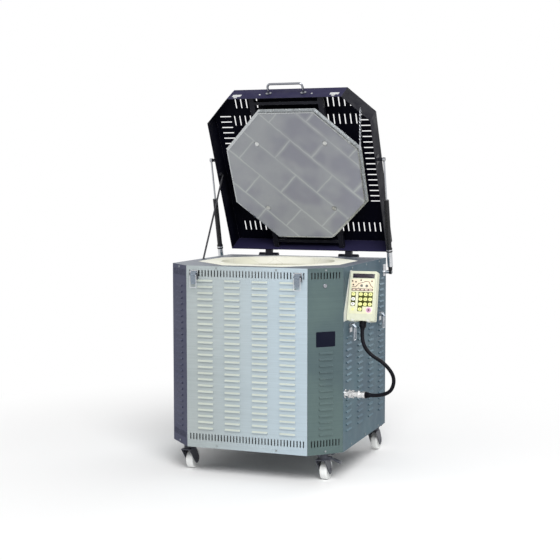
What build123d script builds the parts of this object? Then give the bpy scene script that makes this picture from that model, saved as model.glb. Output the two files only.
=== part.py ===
"""Electric pottery kiln: a square cabinet on casters round an octagonal brick chamber, its hinged lid standing open.

Millimetres. +X is to the right of the front, +Y towards the rear, +Z up. The origin lies on the floor, under the
middle of the whole object's box. Heights on the cabinet are counted from its own zero level, CABINET_Z above the
floor. Heights along the lid are measured from its rim.
"""
from build123d import *
import math
import os

os.makedirs("parts", exist_ok=True)

# Driving dimensions of the cabinet
WIDTH = 742.0
CORNER_CUT = 112.0
BASE_Z = 100.0
TOP_Z = 840.0
SHEET = 1.5
PANEL_GAP = 0.8
FRAME_GAP = 0.2
CABINET_X = -37.19
CABINET_Y = -40.59
CABINET_Z = 15.0

# Driving dimensions of the chamber
CHAMBER_FLATS = 624.0
CHAMBER_BORE = 480.0
CHAMBER_FLOOR_Z = 200.0
WALL_Z = 188.0
FLOOR_GAP = 1.0
RIM_Z = 841.0
RIM_THICKNESS = 30.0
JACKET_SHEET = 1.8
BOARD_Z = BASE_Z + 3.0
BRICK_Z = 130.0
ELEMENT_COUNT = 6
ELEMENT_FIRST_Z = 260.0
ELEMENT_PITCH = 95.0
ELEMENT_RADIUS = 246.0
ELEMENT_WIRE = 8.0
ELEMENT_GAP_DEG = 10.0
LEAD_END_X = 330.0

# Driving dimensions of the lid, which stands open
LID_OPEN_DEG = 63.67
LID_DEPTH = 100.0
PIN_BEHIND = 24.35
PIN_Z = TOP_Z + 3.0
SLAB_FLATS = 604.0
SLAB_THICKNESS = 22.0
SLAB_BOLT_X = 156.0
SLAB_BOLT_Y = 157.0
RAIL_WIDTH = 22.0
RAIL_DEPTH = 22.0

# Panel openings
VENT_WIDTH = 5.0
VENT_HEIGHT = 26.0
VENT_PITCH = 13.5
VENT_TOP_Z = 810.0
VENT_BOTTOM_Z = 144.0
LOUVRE_PITCH = 25.0
LOUVRE_FIRST_Z = 180.0
LOUVRE_ROWS = 25
SCREW_TOP_Z = 831.0
SCREW_BOTTOM_Z = 111.5
SCREW_RADIUS = 2.0
SCREW_CLEARANCE = 0.2

# Gas struts, latches, casters and the handset
STRUT_X = 401.0
STRUT_FOOT_Y = 338.0
STRUT_FOOT_Z = 780.0
STRUT_EYE_Y = -67.0
STRUT_EYE_DEPTH = 30.0
LATCH_X = 221.0
LATCH_Z = 798.0
SIDE_LATCH_Z = 585.0
SIDE_LATCH_MIDDLE_Y = 57.0
SIDE_LATCH_SPREAD = 218.0
CASTER_PLACES = {
    "front_left": (-286.0, -290.0),
    "front_right": (297.0, -286.0),
    "rear_left": (-334.0, 312.0),
    "rear_right": (338.0, 312.0),
}
CASTER_PLATE_TURNS = {"front_left": -45.0, "front_right": 45.0, "rear_left": 90.0, "rear_right": 90.0}
CASTER_TRAIL = 34.0
WHEEL_RADIUS = 40.0
WHEEL_WIDTH = 30.0
HANDSET_X = 431.0
HANDSET_Y = -230.0
HANDSET_Z = 628.0
HANDSET_HEIGHT = 200.0
HANDSET_DEPTH = 33.0
HANDSET_TILT_DEG = 14.45
CABLE_DIAMETER = 15.0
PLUG_Y = -235.0
PLUG_Z = 333.0

HALF = WIDTH / 2
SIDE_LENGTH = WIDTH - CORNER_CUT
SIDE_MIDDLE_Y = CORNER_CUT / 2
FRONT_LENGTH = WIDTH - 2 * CORNER_CUT
CORNER_LENGTH = CORNER_CUT * math.sqrt(2)
COS_OPEN = math.cos(math.radians(LID_OPEN_DEG))
SIN_OPEN = math.sin(math.radians(LID_OPEN_DEG))


def outline(inset):
    """Corners of the cabinet's plan drawn in by inset: a square with its two front corners cut off."""
    half = HALF - inset
    side_end = half - CORNER_CUT + inset * (2 - math.sqrt(2))
    return [
        (-half, half),
        (-half, -side_end),
        (-side_end, -half),
        (side_end, -half),
        (half, -side_end),
        (half, half),
    ]


def level(height):
    """Horizontal plane at a height, centred on the cabinet."""
    return Plane(origin=(CABINET_X, CABINET_Y, CABINET_Z + height))


def facing_front(y):
    """Upright plane that looks to the front."""
    return Plane(origin=(CABINET_X, CABINET_Y + y, CABINET_Z), x_dir=(1, 0, 0), z_dir=(0, -1, 0))


def facing_rear(y):
    """Upright plane that looks to the rear."""
    return Plane(origin=(CABINET_X, CABINET_Y + y, CABINET_Z), x_dir=(-1, 0, 0), z_dir=(0, 1, 0))


def facing_right(x):
    """Upright plane that looks to the right; its first direction is towards the rear."""
    return Plane(origin=(CABINET_X + x, CABINET_Y, CABINET_Z), x_dir=(0, 1, 0), z_dir=(1, 0, 0))


def facing_left(x):
    """Upright plane that looks to the left; its first direction is towards the front."""
    return Plane(origin=(CABINET_X + x, CABINET_Y, CABINET_Z), x_dir=(0, -1, 0), z_dir=(-1, 0, 0))


def facing_corner(side, stand_off=0.0):
    """Upright plane on a front corner panel: side is 1 on the right and -1 on the left."""
    middle = HALF - CORNER_CUT / 2 + stand_off / math.sqrt(2)
    return Plane(
        origin=(CABINET_X + side * middle, CABINET_Y - middle, CABINET_Z),
        x_dir=(1, side, 0),
        z_dir=(side, -1, 0),
    )


def lid_point(x, y, depth):
    """Place on the open lid of a point given as on the closed lid, depth above its rim."""
    behind = HALF + PIN_BEHIND
    return (
        CABINET_X + x,
        CABINET_Y + behind + (y - behind) * COS_OPEN + depth * SIN_OPEN,
        CABINET_Z + PIN_Z - (y - behind) * SIN_OPEN + depth * COS_OPEN,
    )


def lid_level(depth):
    """Plane in the open lid, parallel to its rim and depth above it; it looks towards the roof."""
    return Plane(origin=lid_point(0, 0, depth), x_dir=(1, 0, 0), z_dir=(0, SIN_OPEN, COS_OPEN))


def lid_front(y):
    """Plane in the open lid that looks out of its front skirt."""
    return Plane(origin=lid_point(0, y, 0), x_dir=(1, 0, 0), z_dir=(0, -COS_OPEN, SIN_OPEN))


def lid_side(x, side):
    """Plane in the open lid that looks out of a side skirt: side is 1 on the right and -1 on the left."""
    return Plane(
        origin=lid_point(x, 0, 0),
        x_dir=(0, side * COS_OPEN, -side * SIN_OPEN),
        z_dir=(side, 0, 0),
    )


def lid_corner(side, stand_off=0.0):
    """Plane in the open lid that looks out of a front corner skirt."""
    middle = HALF - CORNER_CUT / 2 + stand_off / math.sqrt(2)
    return Plane(
        origin=lid_point(side * middle, -middle, 0),
        x_dir=(1, side * COS_OPEN, -side * SIN_OPEN),
        z_dir=(side, -COS_OPEN, SIN_OPEN),
    )


def save(builder, name):
    """Labels a finished piece and writes it under its name."""
    builder.part.label = name
    export_step(builder.part, f"parts/{name}.step")


def save_group(name, *builders):
    """Writes several finished pieces under one name, each its own solid."""
    solids = [solid for builder in builders for solid in builder.part.solids()]
    export_step(Compound(label=name, children=solids), f"parts/{name}.step")


def octagon(flats, mode=Mode.ADD):
    """Octagon, flats wide, with a side to the front; drawn into the open sketch."""
    RegularPolygon(radius=flats / 2, side_count=8, major_radius=False, rotation=22.5, mode=mode)


def row_places(count, pitch):
    """Offsets of count places at a pitch, centred on zero."""
    return [(index - (count - 1) / 2) * pitch for index in range(count)]


# Louvres: pressed hoods over cut slots
HOOD_OUT = 5.0
HOOD_TOP = 4.5
HOOD_LIP = 2.0
HOOD_SHEET = 1.0
LOUVRE_SLOT_HEIGHT = 6.0


def make_hood(width):
    """One louvre hood: x along it, y up, z out of the panel; open underneath, closed at both ends."""
    with BuildPart() as hood:
        with BuildSketch(Plane(origin=(-width / 2, 0, 0), x_dir=(0, 1, 0), z_dir=(1, 0, 0))):
            Polygon(
                (HOOD_TOP, 0), (-HOOD_LIP, HOOD_OUT), (-HOOD_TOP, HOOD_OUT), (-HOOD_TOP, HOOD_OUT - HOOD_SHEET),
                (-HOOD_LIP - 0.4, HOOD_OUT - HOOD_SHEET), (HOOD_TOP - 1.6, 0), align=None,
            )
        extrude(amount=width)
        for end in (-width / 2, width / 2 - HOOD_SHEET):
            with BuildSketch(Plane(origin=(end, 0, 0), x_dir=(0, 1, 0), z_dir=(1, 0, 0))):
                Polygon((HOOD_TOP, 0), (-HOOD_LIP, HOOD_OUT), (-HOOD_TOP, HOOD_OUT), (-HOOD_TOP, 0), align=None)
            extrude(amount=HOOD_SHEET)
    return hood.part


def add_louvres(face, places, width):
    """Cuts the slots and presses the hoods at places on a face of the open part."""
    with BuildSketch(face) as slots:
        with Locations(*places):
            Rectangle(width - 2 * HOOD_SHEET, LOUVRE_SLOT_HEIGHT)
    extrude(slots.sketch, amount=-SHEET, mode=Mode.SUBTRACT)
    hood = make_hood(width)
    with Locations(*[face.location * Location((u, v, 0)) for u, v in places]):
        add(hood)


def cut_vents(face, places):
    """Cuts upright vent slots at places on a face of the open part."""
    with BuildSketch(face) as slots:
        with Locations(*places):
            Rectangle(VENT_WIDTH, VENT_HEIGHT)
    extrude(slots.sketch, amount=-SHEET, mode=Mode.SUBTRACT)


def cut_holes(face, places, radius, depth):
    """Cuts round holes into a face of the open part."""
    with BuildSketch(face) as holes:
        with Locations(*places):
            Circle(radius)
    extrude(holes.sketch, amount=-depth, mode=Mode.SUBTRACT)


# Panels: face, length, screw offsets, vent count, louvre columns, first louvre row and number of rows
FRONT_COLUMNS = (-176.0, -59.0, 59.0, 176.0)
SIDE_COLUMNS = (-240.0, -80.0, 80.0, 240.0)
REAR_COLUMNS = (-240.0, -80.0, 80.0, 240.0)
PANEL_SCREWS = (-128.0, 128.0)
SIDE_SCREWS = (-200.0, 0.0, 200.0)
REAR_SCREWS = (-300.0, 0.0, 300.0)
LOUVRE_WIDTH = 66.0
CORNER_LOUVRE_WIDTH = 58.0
FRONT_VENTS = 37
CORNER_VENTS = 10
REAR_VENTS = 49


def vent_places(count):
    """Places of the top and bottom vent rows."""
    return [(u, z) for u in row_places(count, VENT_PITCH) for z in (VENT_TOP_Z, VENT_BOTTOM_Z)]


def louvre_places(columns, rows):
    """Places of the louvres, counted up from the lowest row."""
    return [(u, LOUVRE_FIRST_Z + row * LOUVRE_PITCH) for u in columns for row in range(rows)]


def screw_places(offsets, middle=0.0):
    """Places of a panel's screws along its top and bottom edges."""
    return [(middle + u, z) for u in offsets for z in (SCREW_TOP_Z, SCREW_BOTTOM_Z)]


PANELS = {
    "front_panel": {
        "face": facing_front(-HALF), "middle": 0.0, "length": FRONT_LENGTH - 2 * PANEL_GAP,
        "screws": PANEL_SCREWS, "vents": FRONT_VENTS, "columns": FRONT_COLUMNS, "rows": LOUVRE_ROWS,
        "louvre": LOUVRE_WIDTH,
    },
    "front_left_corner_panel": {
        "face": facing_corner(-1), "middle": 0.0, "length": CORNER_LENGTH - 2 * PANEL_GAP,
        "screws": (0.0,), "vents": CORNER_VENTS, "columns": (0.0,), "rows": LOUVRE_ROWS - 1,
        "louvre": CORNER_LOUVRE_WIDTH,
    },
    "front_right_corner_panel": {
        "face": facing_corner(1), "middle": 0.0, "length": CORNER_LENGTH - 2 * PANEL_GAP,
        "screws": (0.0,), "vents": CORNER_VENTS, "columns": (2.0,), "rows": 14,
        "louvre": CORNER_LOUVRE_WIDTH,
    },
    "left_side_panel": {
        "face": facing_left(-HALF), "middle": -SIDE_MIDDLE_Y - (PANEL_GAP - SHEET - FRAME_GAP) / 2,
        "length": SIDE_LENGTH - PANEL_GAP - SHEET - FRAME_GAP,
        "screws": SIDE_SCREWS, "vents": 0, "columns": SIDE_COLUMNS, "rows": LOUVRE_ROWS, "louvre": LOUVRE_WIDTH,
    },
    "right_side_panel": {
        "face": facing_right(HALF), "middle": SIDE_MIDDLE_Y + (PANEL_GAP - SHEET - FRAME_GAP) / 2,
        "length": SIDE_LENGTH - PANEL_GAP - SHEET - FRAME_GAP,
        "screws": SIDE_SCREWS, "vents": 0, "columns": SIDE_COLUMNS, "rows": LOUVRE_ROWS, "louvre": LOUVRE_WIDTH,
    },
    "rear_panel": {
        "face": facing_rear(HALF), "middle": 0.0, "length": WIDTH,
        "screws": REAR_SCREWS, "vents": REAR_VENTS, "columns": REAR_COLUMNS, "rows": 21, "louvre": LOUVRE_WIDTH,
    },
}

# Fittings on the panels that need holes
KEY_LOCK_PLACE = (-4.0, 770.0)
KEY_LOCK_RADIUS = 8.5
GLAND_PLACE = (-250.0, 190.0)
GLAND_RADIUS = 12.5
SOCKET_PLACE = (PLUG_Y, PLUG_Z)
SOCKET_RADIUS = 11.0
PANEL_HOLES = {
    "front_right_corner_panel": (KEY_LOCK_PLACE, KEY_LOCK_RADIUS - 1.5),
    "rear_panel": (GLAND_PLACE, GLAND_RADIUS - 2.5),
    "right_side_panel": (SOCKET_PLACE, SOCKET_RADIUS - 2.0),
}

# Boxes on the panels that fittings take up: middle and half size, in the panel's own directions
KEEP_OUT = {
    "right_side_panel": [
        (PLUG_Y, PLUG_Z, 24.0, 20.0),
        (-203.0, 723.5, 53.0, 98.5),
        (STRUT_FOOT_Y, 790.0, 22.0, 26.0),
        (SIDE_LATCH_MIDDLE_Y - SIDE_LATCH_SPREAD, SIDE_LATCH_Z, 17.0, 24.0),
        (SIDE_LATCH_MIDDLE_Y + SIDE_LATCH_SPREAD, SIDE_LATCH_Z, 17.0, 24.0),
    ],
    "left_side_panel": [(-STRUT_FOOT_Y, 790.0, 22.0, 26.0)],
    "rear_panel": [(GLAND_PLACE[0], GLAND_PLACE[1], 18.0, 18.0)],
}


def clear_of_fittings(places, name, width):
    """Louvre places of a panel that no fitting covers."""
    return [
        (u, v) for u, v in places
        if not any(abs(u - a) < width / 2 + b and abs(v - c) < HOOD_TOP + d for a, c, b, d in KEEP_OUT.get(name, []))
    ]


for panel_name, spec in PANELS.items():
    with BuildPart() as panel:
        with BuildSketch(spec["face"]):
            with Locations((spec["middle"], (BASE_Z + TOP_Z) / 2)):
                Rectangle(spec["length"], TOP_Z - BASE_Z)
        extrude(amount=-SHEET)
        if spec["vents"]:
            cut_vents(spec["face"], vent_places(spec["vents"]))
        cut_holes(spec["face"], screw_places(spec["screws"], spec["middle"]), SCREW_RADIUS + SCREW_CLEARANCE, SHEET)
        if panel_name in PANEL_HOLES:
            hole_place, hole_radius = PANEL_HOLES[panel_name]
            cut_holes(spec["face"], [hole_place], hole_radius, SHEET)
        columns = [spec["middle"] + u for u in spec["columns"]]
        places = clear_of_fittings(louvre_places(columns, spec["rows"]), panel_name, spec["louvre"])
        add_louvres(spec["face"], places, spec["louvre"])
    save(panel, panel_name)


def add_screws(face, places, length):
    """Pan-head screws standing on a face of the open part, their shanks going in by length."""
    with BuildSketch(face) as shanks:
        with Locations(*places):
            Circle(SCREW_RADIUS)
    extrude(shanks.sketch, amount=-length)
    with BuildSketch(face) as heads:
        with Locations(*places):
            Circle(2 * SCREW_RADIUS)
    extrude(heads.sketch, amount=SCREW_RADIUS)


SCREW_LENGTH = 9.0
with BuildPart() as panel_screws:
    for spec in PANELS.values():
        add_screws(spec["face"], screw_places(spec["screws"], spec["middle"]), SCREW_LENGTH)
save(panel_screws, "panel_screws")


def cut_screw_clearances(low, high):
    """Cuts the panel screws' holes through the rims of the tray or top plate, between two heights."""
    for spec in PANELS.values():
        places = [(u, z) for u, z in screw_places(spec["screws"], spec["middle"]) if low < z < high]
        cut_holes(spec["face"], places, SCREW_RADIUS + SCREW_CLEARANCE, SCREW_LENGTH)


# Tray, posts and top plate
TRAY_SHEET = 3.0
TRAY_RIM = 30.0
RIM_SHEET = 2.0
TOP_RIM = 15.0
INNER = SHEET + FRAME_GAP
CASTER_PLATE_X = 80.0
CASTER_PLATE_Y = 60.0
CASTER_BOLT_X = 60.0
CASTER_BOLT_Y = 42.0
BOLT_RADIUS = 4.0
BOLT_CLEARANCE = 0.3
CASTER_SEATS = [
    Location((x, y, 0), (0, 0, CASTER_PLATE_TURNS[corner])) for corner, (x, y) in CASTER_PLACES.items()
]

with BuildPart() as base_tray:
    with BuildSketch(level(BASE_Z)):
        Polygon(*outline(INNER), align=None)
    extrude(amount=TRAY_RIM)
    with BuildSketch(level(BASE_Z + TRAY_SHEET)):
        Polygon(*outline(INNER + RIM_SHEET), align=None)
    extrude(amount=TRAY_RIM, mode=Mode.SUBTRACT)
    with BuildSketch(level(BASE_Z)):
        with Locations(*CASTER_SEATS):
            with GridLocations(CASTER_BOLT_X, CASTER_BOLT_Y, 2, 2):
                Circle(BOLT_RADIUS + BOLT_CLEARANCE)
    extrude(amount=TRAY_SHEET, mode=Mode.SUBTRACT)
    cut_screw_clearances(BASE_Z, BASE_Z + TRAY_RIM)

STAY_X = -351.0
STAY_SLOT_Y = 7.0
STAY_SLOT_LENGTH = 46.0
STAY_SLOT_WIDTH = 12.0

with BuildPart() as top_plate:
    with BuildSketch(level(TOP_Z - TOP_RIM)):
        Polygon(*outline(INNER), align=None)
    extrude(amount=TOP_RIM)
    with BuildSketch(level(TOP_Z - TOP_RIM)):
        Polygon(*outline(INNER + RIM_SHEET), align=None)
    extrude(amount=TOP_RIM - SHEET, mode=Mode.SUBTRACT)
    with BuildSketch(level(TOP_Z)):
        octagon(CHAMBER_FLATS + 1.0)
        with Locations((STAY_X, STAY_SLOT_Y)):
            SlotOverall(STAY_SLOT_LENGTH, STAY_SLOT_WIDTH, rotation=90)
    extrude(amount=-SHEET, mode=Mode.SUBTRACT)
    cut_screw_clearances(TOP_Z - TOP_RIM, TOP_Z)
save(top_plate, "top_plate")

POST_SIZE = 18.0
POST_WALL = 1.5
POST_PLACES = [(-358, 358), (358, 358), (-348, -245), (348, -245), (-246, -349), (246, -349)]

with BuildPart() as frame_posts:
    with BuildSketch(level(BOARD_Z)):
        with Locations(*POST_PLACES):
            Rectangle(POST_SIZE, POST_SIZE)
            Rectangle(POST_SIZE - 2 * POST_WALL, POST_SIZE - 2 * POST_WALL, mode=Mode.SUBTRACT)
    extrude(amount=TOP_Z - SHEET - BOARD_Z)
save_group("base_frame", base_tray, frame_posts)

# Chamber: board, floor, brick wall with element grooves, rim and steel jacket
GROOVE_DEPTH = 14.0
GROOVE_HEIGHT = 14.0
LEAD_CLEARANCE = 1.0


def lead_plane(angle_deg, height):
    """Plane that looks outwards along an element's lead, at the element's own radius."""
    angle = math.radians(angle_deg)
    outwards = Vector(math.cos(angle), math.sin(angle), 0)
    return Plane(
        origin=Vector(CABINET_X, CABINET_Y, CABINET_Z + height) + outwards * ELEMENT_RADIUS,
        x_dir=(-math.sin(angle), math.cos(angle), 0),
        z_dir=outwards,
    )


ELEMENT_HEIGHTS = [ELEMENT_FIRST_Z + index * ELEMENT_PITCH for index in range(ELEMENT_COUNT)]
LEAD_LENGTH = LEAD_END_X / math.cos(math.radians(ELEMENT_GAP_DEG)) - ELEMENT_RADIUS
THERMOCOUPLE_Z = 610.0
THERMOCOUPLE_RADIUS = 5.0


def cut_lead_holes():
    """Cuts the holes for all element leads and the thermocouple through the open part."""
    for height in ELEMENT_HEIGHTS:
        for angle in (-ELEMENT_GAP_DEG, ELEMENT_GAP_DEG):
            with BuildSketch(lead_plane(angle, height)) as lead_hole:
                Circle(ELEMENT_WIRE / 2 + LEAD_CLEARANCE)
            extrude(lead_hole.sketch, amount=LEAD_LENGTH, mode=Mode.SUBTRACT)
    with BuildSketch(facing_rear(0)) as probe_hole:
        with Locations((0, THERMOCOUPLE_Z)):
            Circle(THERMOCOUPLE_RADIUS + LEAD_CLEARANCE)
    extrude(probe_hole.sketch, amount=HALF, mode=Mode.SUBTRACT)


with BuildPart() as base_insulation:
    with BuildSketch(level(BOARD_Z)):
        octagon(CHAMBER_FLATS)
    extrude(amount=BRICK_Z - BOARD_Z)

with BuildPart() as chamber_floor:
    with BuildSketch(level(BRICK_Z)):
        octagon(CHAMBER_FLATS)
    extrude(amount=WALL_Z - BRICK_Z)
    with BuildSketch(level(WALL_Z)):
        Circle(CHAMBER_BORE / 2 - FLOOR_GAP)
    extrude(amount=CHAMBER_FLOOR_Z - WALL_Z)
save_group("chamber_floor", chamber_floor, base_insulation)

with BuildPart() as chamber_wall:
    with BuildSketch(level(WALL_Z)):
        octagon(CHAMBER_FLATS)
        Circle(CHAMBER_BORE / 2, mode=Mode.SUBTRACT)
    extrude(amount=RIM_Z - RIM_THICKNESS - WALL_Z)
    for height in ELEMENT_HEIGHTS:
        with BuildSketch(level(height - GROOVE_HEIGHT / 2)):
            Circle(CHAMBER_BORE / 2 + GROOVE_DEPTH)
            Circle(CHAMBER_BORE / 2 - 1.0, mode=Mode.SUBTRACT)
        extrude(amount=GROOVE_HEIGHT, mode=Mode.SUBTRACT)
    cut_lead_holes()
save(chamber_wall, "chamber_wall")

with BuildPart() as chamber_rim:
    with BuildSketch(level(RIM_Z - RIM_THICKNESS)):
        octagon(CHAMBER_FLATS)
        Circle(CHAMBER_BORE / 2, mode=Mode.SUBTRACT)
    extrude(amount=RIM_THICKNESS)
save(chamber_rim, "chamber_rim")

with BuildPart() as chamber_jacket:
    with BuildSketch(level(BOARD_Z)):
        octagon(CHAMBER_FLATS + 2 * JACKET_SHEET)
        octagon(CHAMBER_FLATS, mode=Mode.SUBTRACT)
    extrude(amount=TOP_Z - SHEET - BOARD_Z)
    cut_lead_holes()
save(chamber_jacket, "chamber_jacket")

with BuildPart() as heating_elements:
    for height in ELEMENT_HEIGHTS:
        start = lead_plane(ELEMENT_GAP_DEG, height)
        with BuildSketch(Plane(origin=start.origin, x_dir=start.z_dir, z_dir=start.x_dir)):
            Circle(ELEMENT_WIRE / 2)
        revolve(axis=Axis((CABINET_X, CABINET_Y, 0), (0, 0, 1)), revolution_arc=360 - 2 * ELEMENT_GAP_DEG)
        for angle in (-ELEMENT_GAP_DEG, ELEMENT_GAP_DEG):
            with BuildSketch(lead_plane(angle, height)):
                Circle(ELEMENT_WIRE / 2)
            extrude(amount=LEAD_LENGTH)
save(heating_elements, "heating_elements")

# Electrical parts inside the cabinet
TERMINAL_WIDTH = 150.0
TERMINAL_HEIGHT = 525.0
CONTACTOR_PLACE = (180.0, 360.0)
CONTACTOR_WIDTH = 100.0
CONTACTOR_HEIGHT = 120.0
PROBE_REACH = 30.0
PROBE_HEAD = 30.0

with BuildPart() as terminal_block:
    with BuildSketch(facing_right(LEAD_END_X)):
        with Locations((0, (ELEMENT_HEIGHTS[0] + ELEMENT_HEIGHTS[-1]) / 2)):
            Rectangle(TERMINAL_WIDTH, TERMINAL_HEIGHT)
    extrude(amount=HALF - SHEET - LEAD_END_X)

with BuildPart() as contactor_box:
    with BuildSketch(facing_right(LEAD_END_X)):
        with Locations(CONTACTOR_PLACE):
            RectangleRounded(CONTACTOR_WIDTH, CONTACTOR_HEIGHT, 4)
    extrude(amount=HALF - SHEET - LEAD_END_X)

with BuildPart() as thermocouple:
    with BuildSketch(facing_rear(CHAMBER_BORE / 2 - PROBE_REACH)):
        with Locations((0, THERMOCOUPLE_Z)):
            Circle(THERMOCOUPLE_RADIUS)
    extrude(amount=CHAMBER_FLATS / 2 - CHAMBER_BORE / 2 + PROBE_REACH + PROBE_HEAD / 2)
    with BuildSketch(facing_rear(CHAMBER_FLATS / 2 + JACKET_SHEET)):
        with Locations((0, THERMOCOUPLE_Z)):
            Circle(3 * THERMOCOUPLE_RADIUS)
    extrude(amount=PROBE_HEAD)
save_group("electrical_parts", terminal_block, contactor_box, thermocouple)

GLAND_OUTSIDE = 24.0
GLAND_INSIDE = 12.0
GLAND_BORE = 6.5

with BuildPart() as mains_gland:
    with BuildSketch(facing_rear(HALF)):
        with Locations(GLAND_PLACE):
            RegularPolygon(radius=GLAND_RADIUS + 3.0, side_count=6)
    extrude(amount=6.0)
    with BuildSketch(facing_rear(HALF)):
        with Locations(GLAND_PLACE):
            Circle(GLAND_RADIUS - 1.0)
    extrude(amount=GLAND_OUTSIDE)
    with BuildSketch(facing_rear(HALF)):
        with Locations(GLAND_PLACE):
            Circle(GLAND_RADIUS - 2.5 - SCREW_CLEARANCE)
    extrude(amount=-GLAND_INSIDE)
    with BuildSketch(facing_rear(HALF + GLAND_OUTSIDE)):
        with Locations(GLAND_PLACE):
            Circle(GLAND_BORE)
    extrude(amount=-(GLAND_OUTSIDE + GLAND_INSIDE), mode=Mode.SUBTRACT)
save(mains_gland, "mains_gland")

# Casters
PLATE_SHEET = 3.0
KINGPIN_RADIUS = 5.0
KINGPIN_LENGTH = 17.0
RUNNING = 0.05
HEAD_RADIUS = 22.0
HEAD_HEIGHT = 20.0
HEAD_GAP = 0.3
CROWN_THICKNESS = 4.0
CROWN_FRONT = 38.0
CROWN_REAR = 22.0
CROWN_LENGTH = CROWN_FRONT + CROWN_REAR
CROWN_MIDDLE = (CROWN_REAR - CROWN_FRONT) / 2
LEG_INSIDE = 17.5
LEG_SHEET = 3.0
LEG_FOOT_RADIUS = 19.0
AXLE_RADIUS = 6.0
AXLE_Z = WHEEL_RADIUS - CABINET_Z
HUB_RADIUS = 14.0
HUB_HALF = 17.0
WEB_HALF = 11.0
TREAD_RADIUS = 32.5
TREAD_FLAT = 8.0
PLATE_BOTTOM_Z = BASE_Z - PLATE_SHEET
HEAD_TOP_Z = PLATE_BOTTOM_Z - HEAD_GAP
CROWN_TOP_Z = HEAD_TOP_Z - HEAD_HEIGHT
PEDAL_PIVOT_X = 28.0
PEDAL_PIVOT_Z = 76.0
PEDAL_REACH = 76.0
PEDAL_PIN_RADIUS = 2.5

with BuildPart() as caster_plates:
    with BuildSketch(level(PLATE_BOTTOM_Z)):
        with Locations(*CASTER_SEATS):
            RectangleRounded(CASTER_PLATE_X, CASTER_PLATE_Y, 6)
            with GridLocations(CASTER_BOLT_X, CASTER_BOLT_Y, 2, 2):
                Circle(BOLT_RADIUS + BOLT_CLEARANCE, mode=Mode.SUBTRACT)
    extrude(amount=PLATE_SHEET)
    with BuildSketch(level(PLATE_BOTTOM_Z)):
        with Locations(*CASTER_SEATS):
            Circle(KINGPIN_RADIUS)
    extrude(amount=-KINGPIN_LENGTH)

with BuildPart() as caster_bolts:
    with BuildSketch(level(PLATE_BOTTOM_Z)):
        with Locations(*CASTER_SEATS):
            with GridLocations(CASTER_BOLT_X, CASTER_BOLT_Y, 2, 2):
                RegularPolygon(radius=1.75 * BOLT_RADIUS, side_count=6)
    extrude(amount=-1.25 * BOLT_RADIUS)
    with BuildSketch(level(PLATE_BOTTOM_Z)):
        with Locations(*CASTER_SEATS):
            with GridLocations(CASTER_BOLT_X, CASTER_BOLT_Y, 2, 2):
                Circle(BOLT_RADIUS)
    extrude(amount=PLATE_SHEET + TRAY_SHEET + 1.5 * BOLT_RADIUS)
    with BuildSketch(level(BOARD_Z)):
        with Locations(*CASTER_SEATS):
            with GridLocations(CASTER_BOLT_X, CASTER_BOLT_Y, 2, 2):
                RegularPolygon(radius=1.6 * BOLT_RADIUS, side_count=6)
    extrude(amount=1.25 * BOLT_RADIUS)
save_group("caster_plates", caster_plates, caster_bolts)

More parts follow.
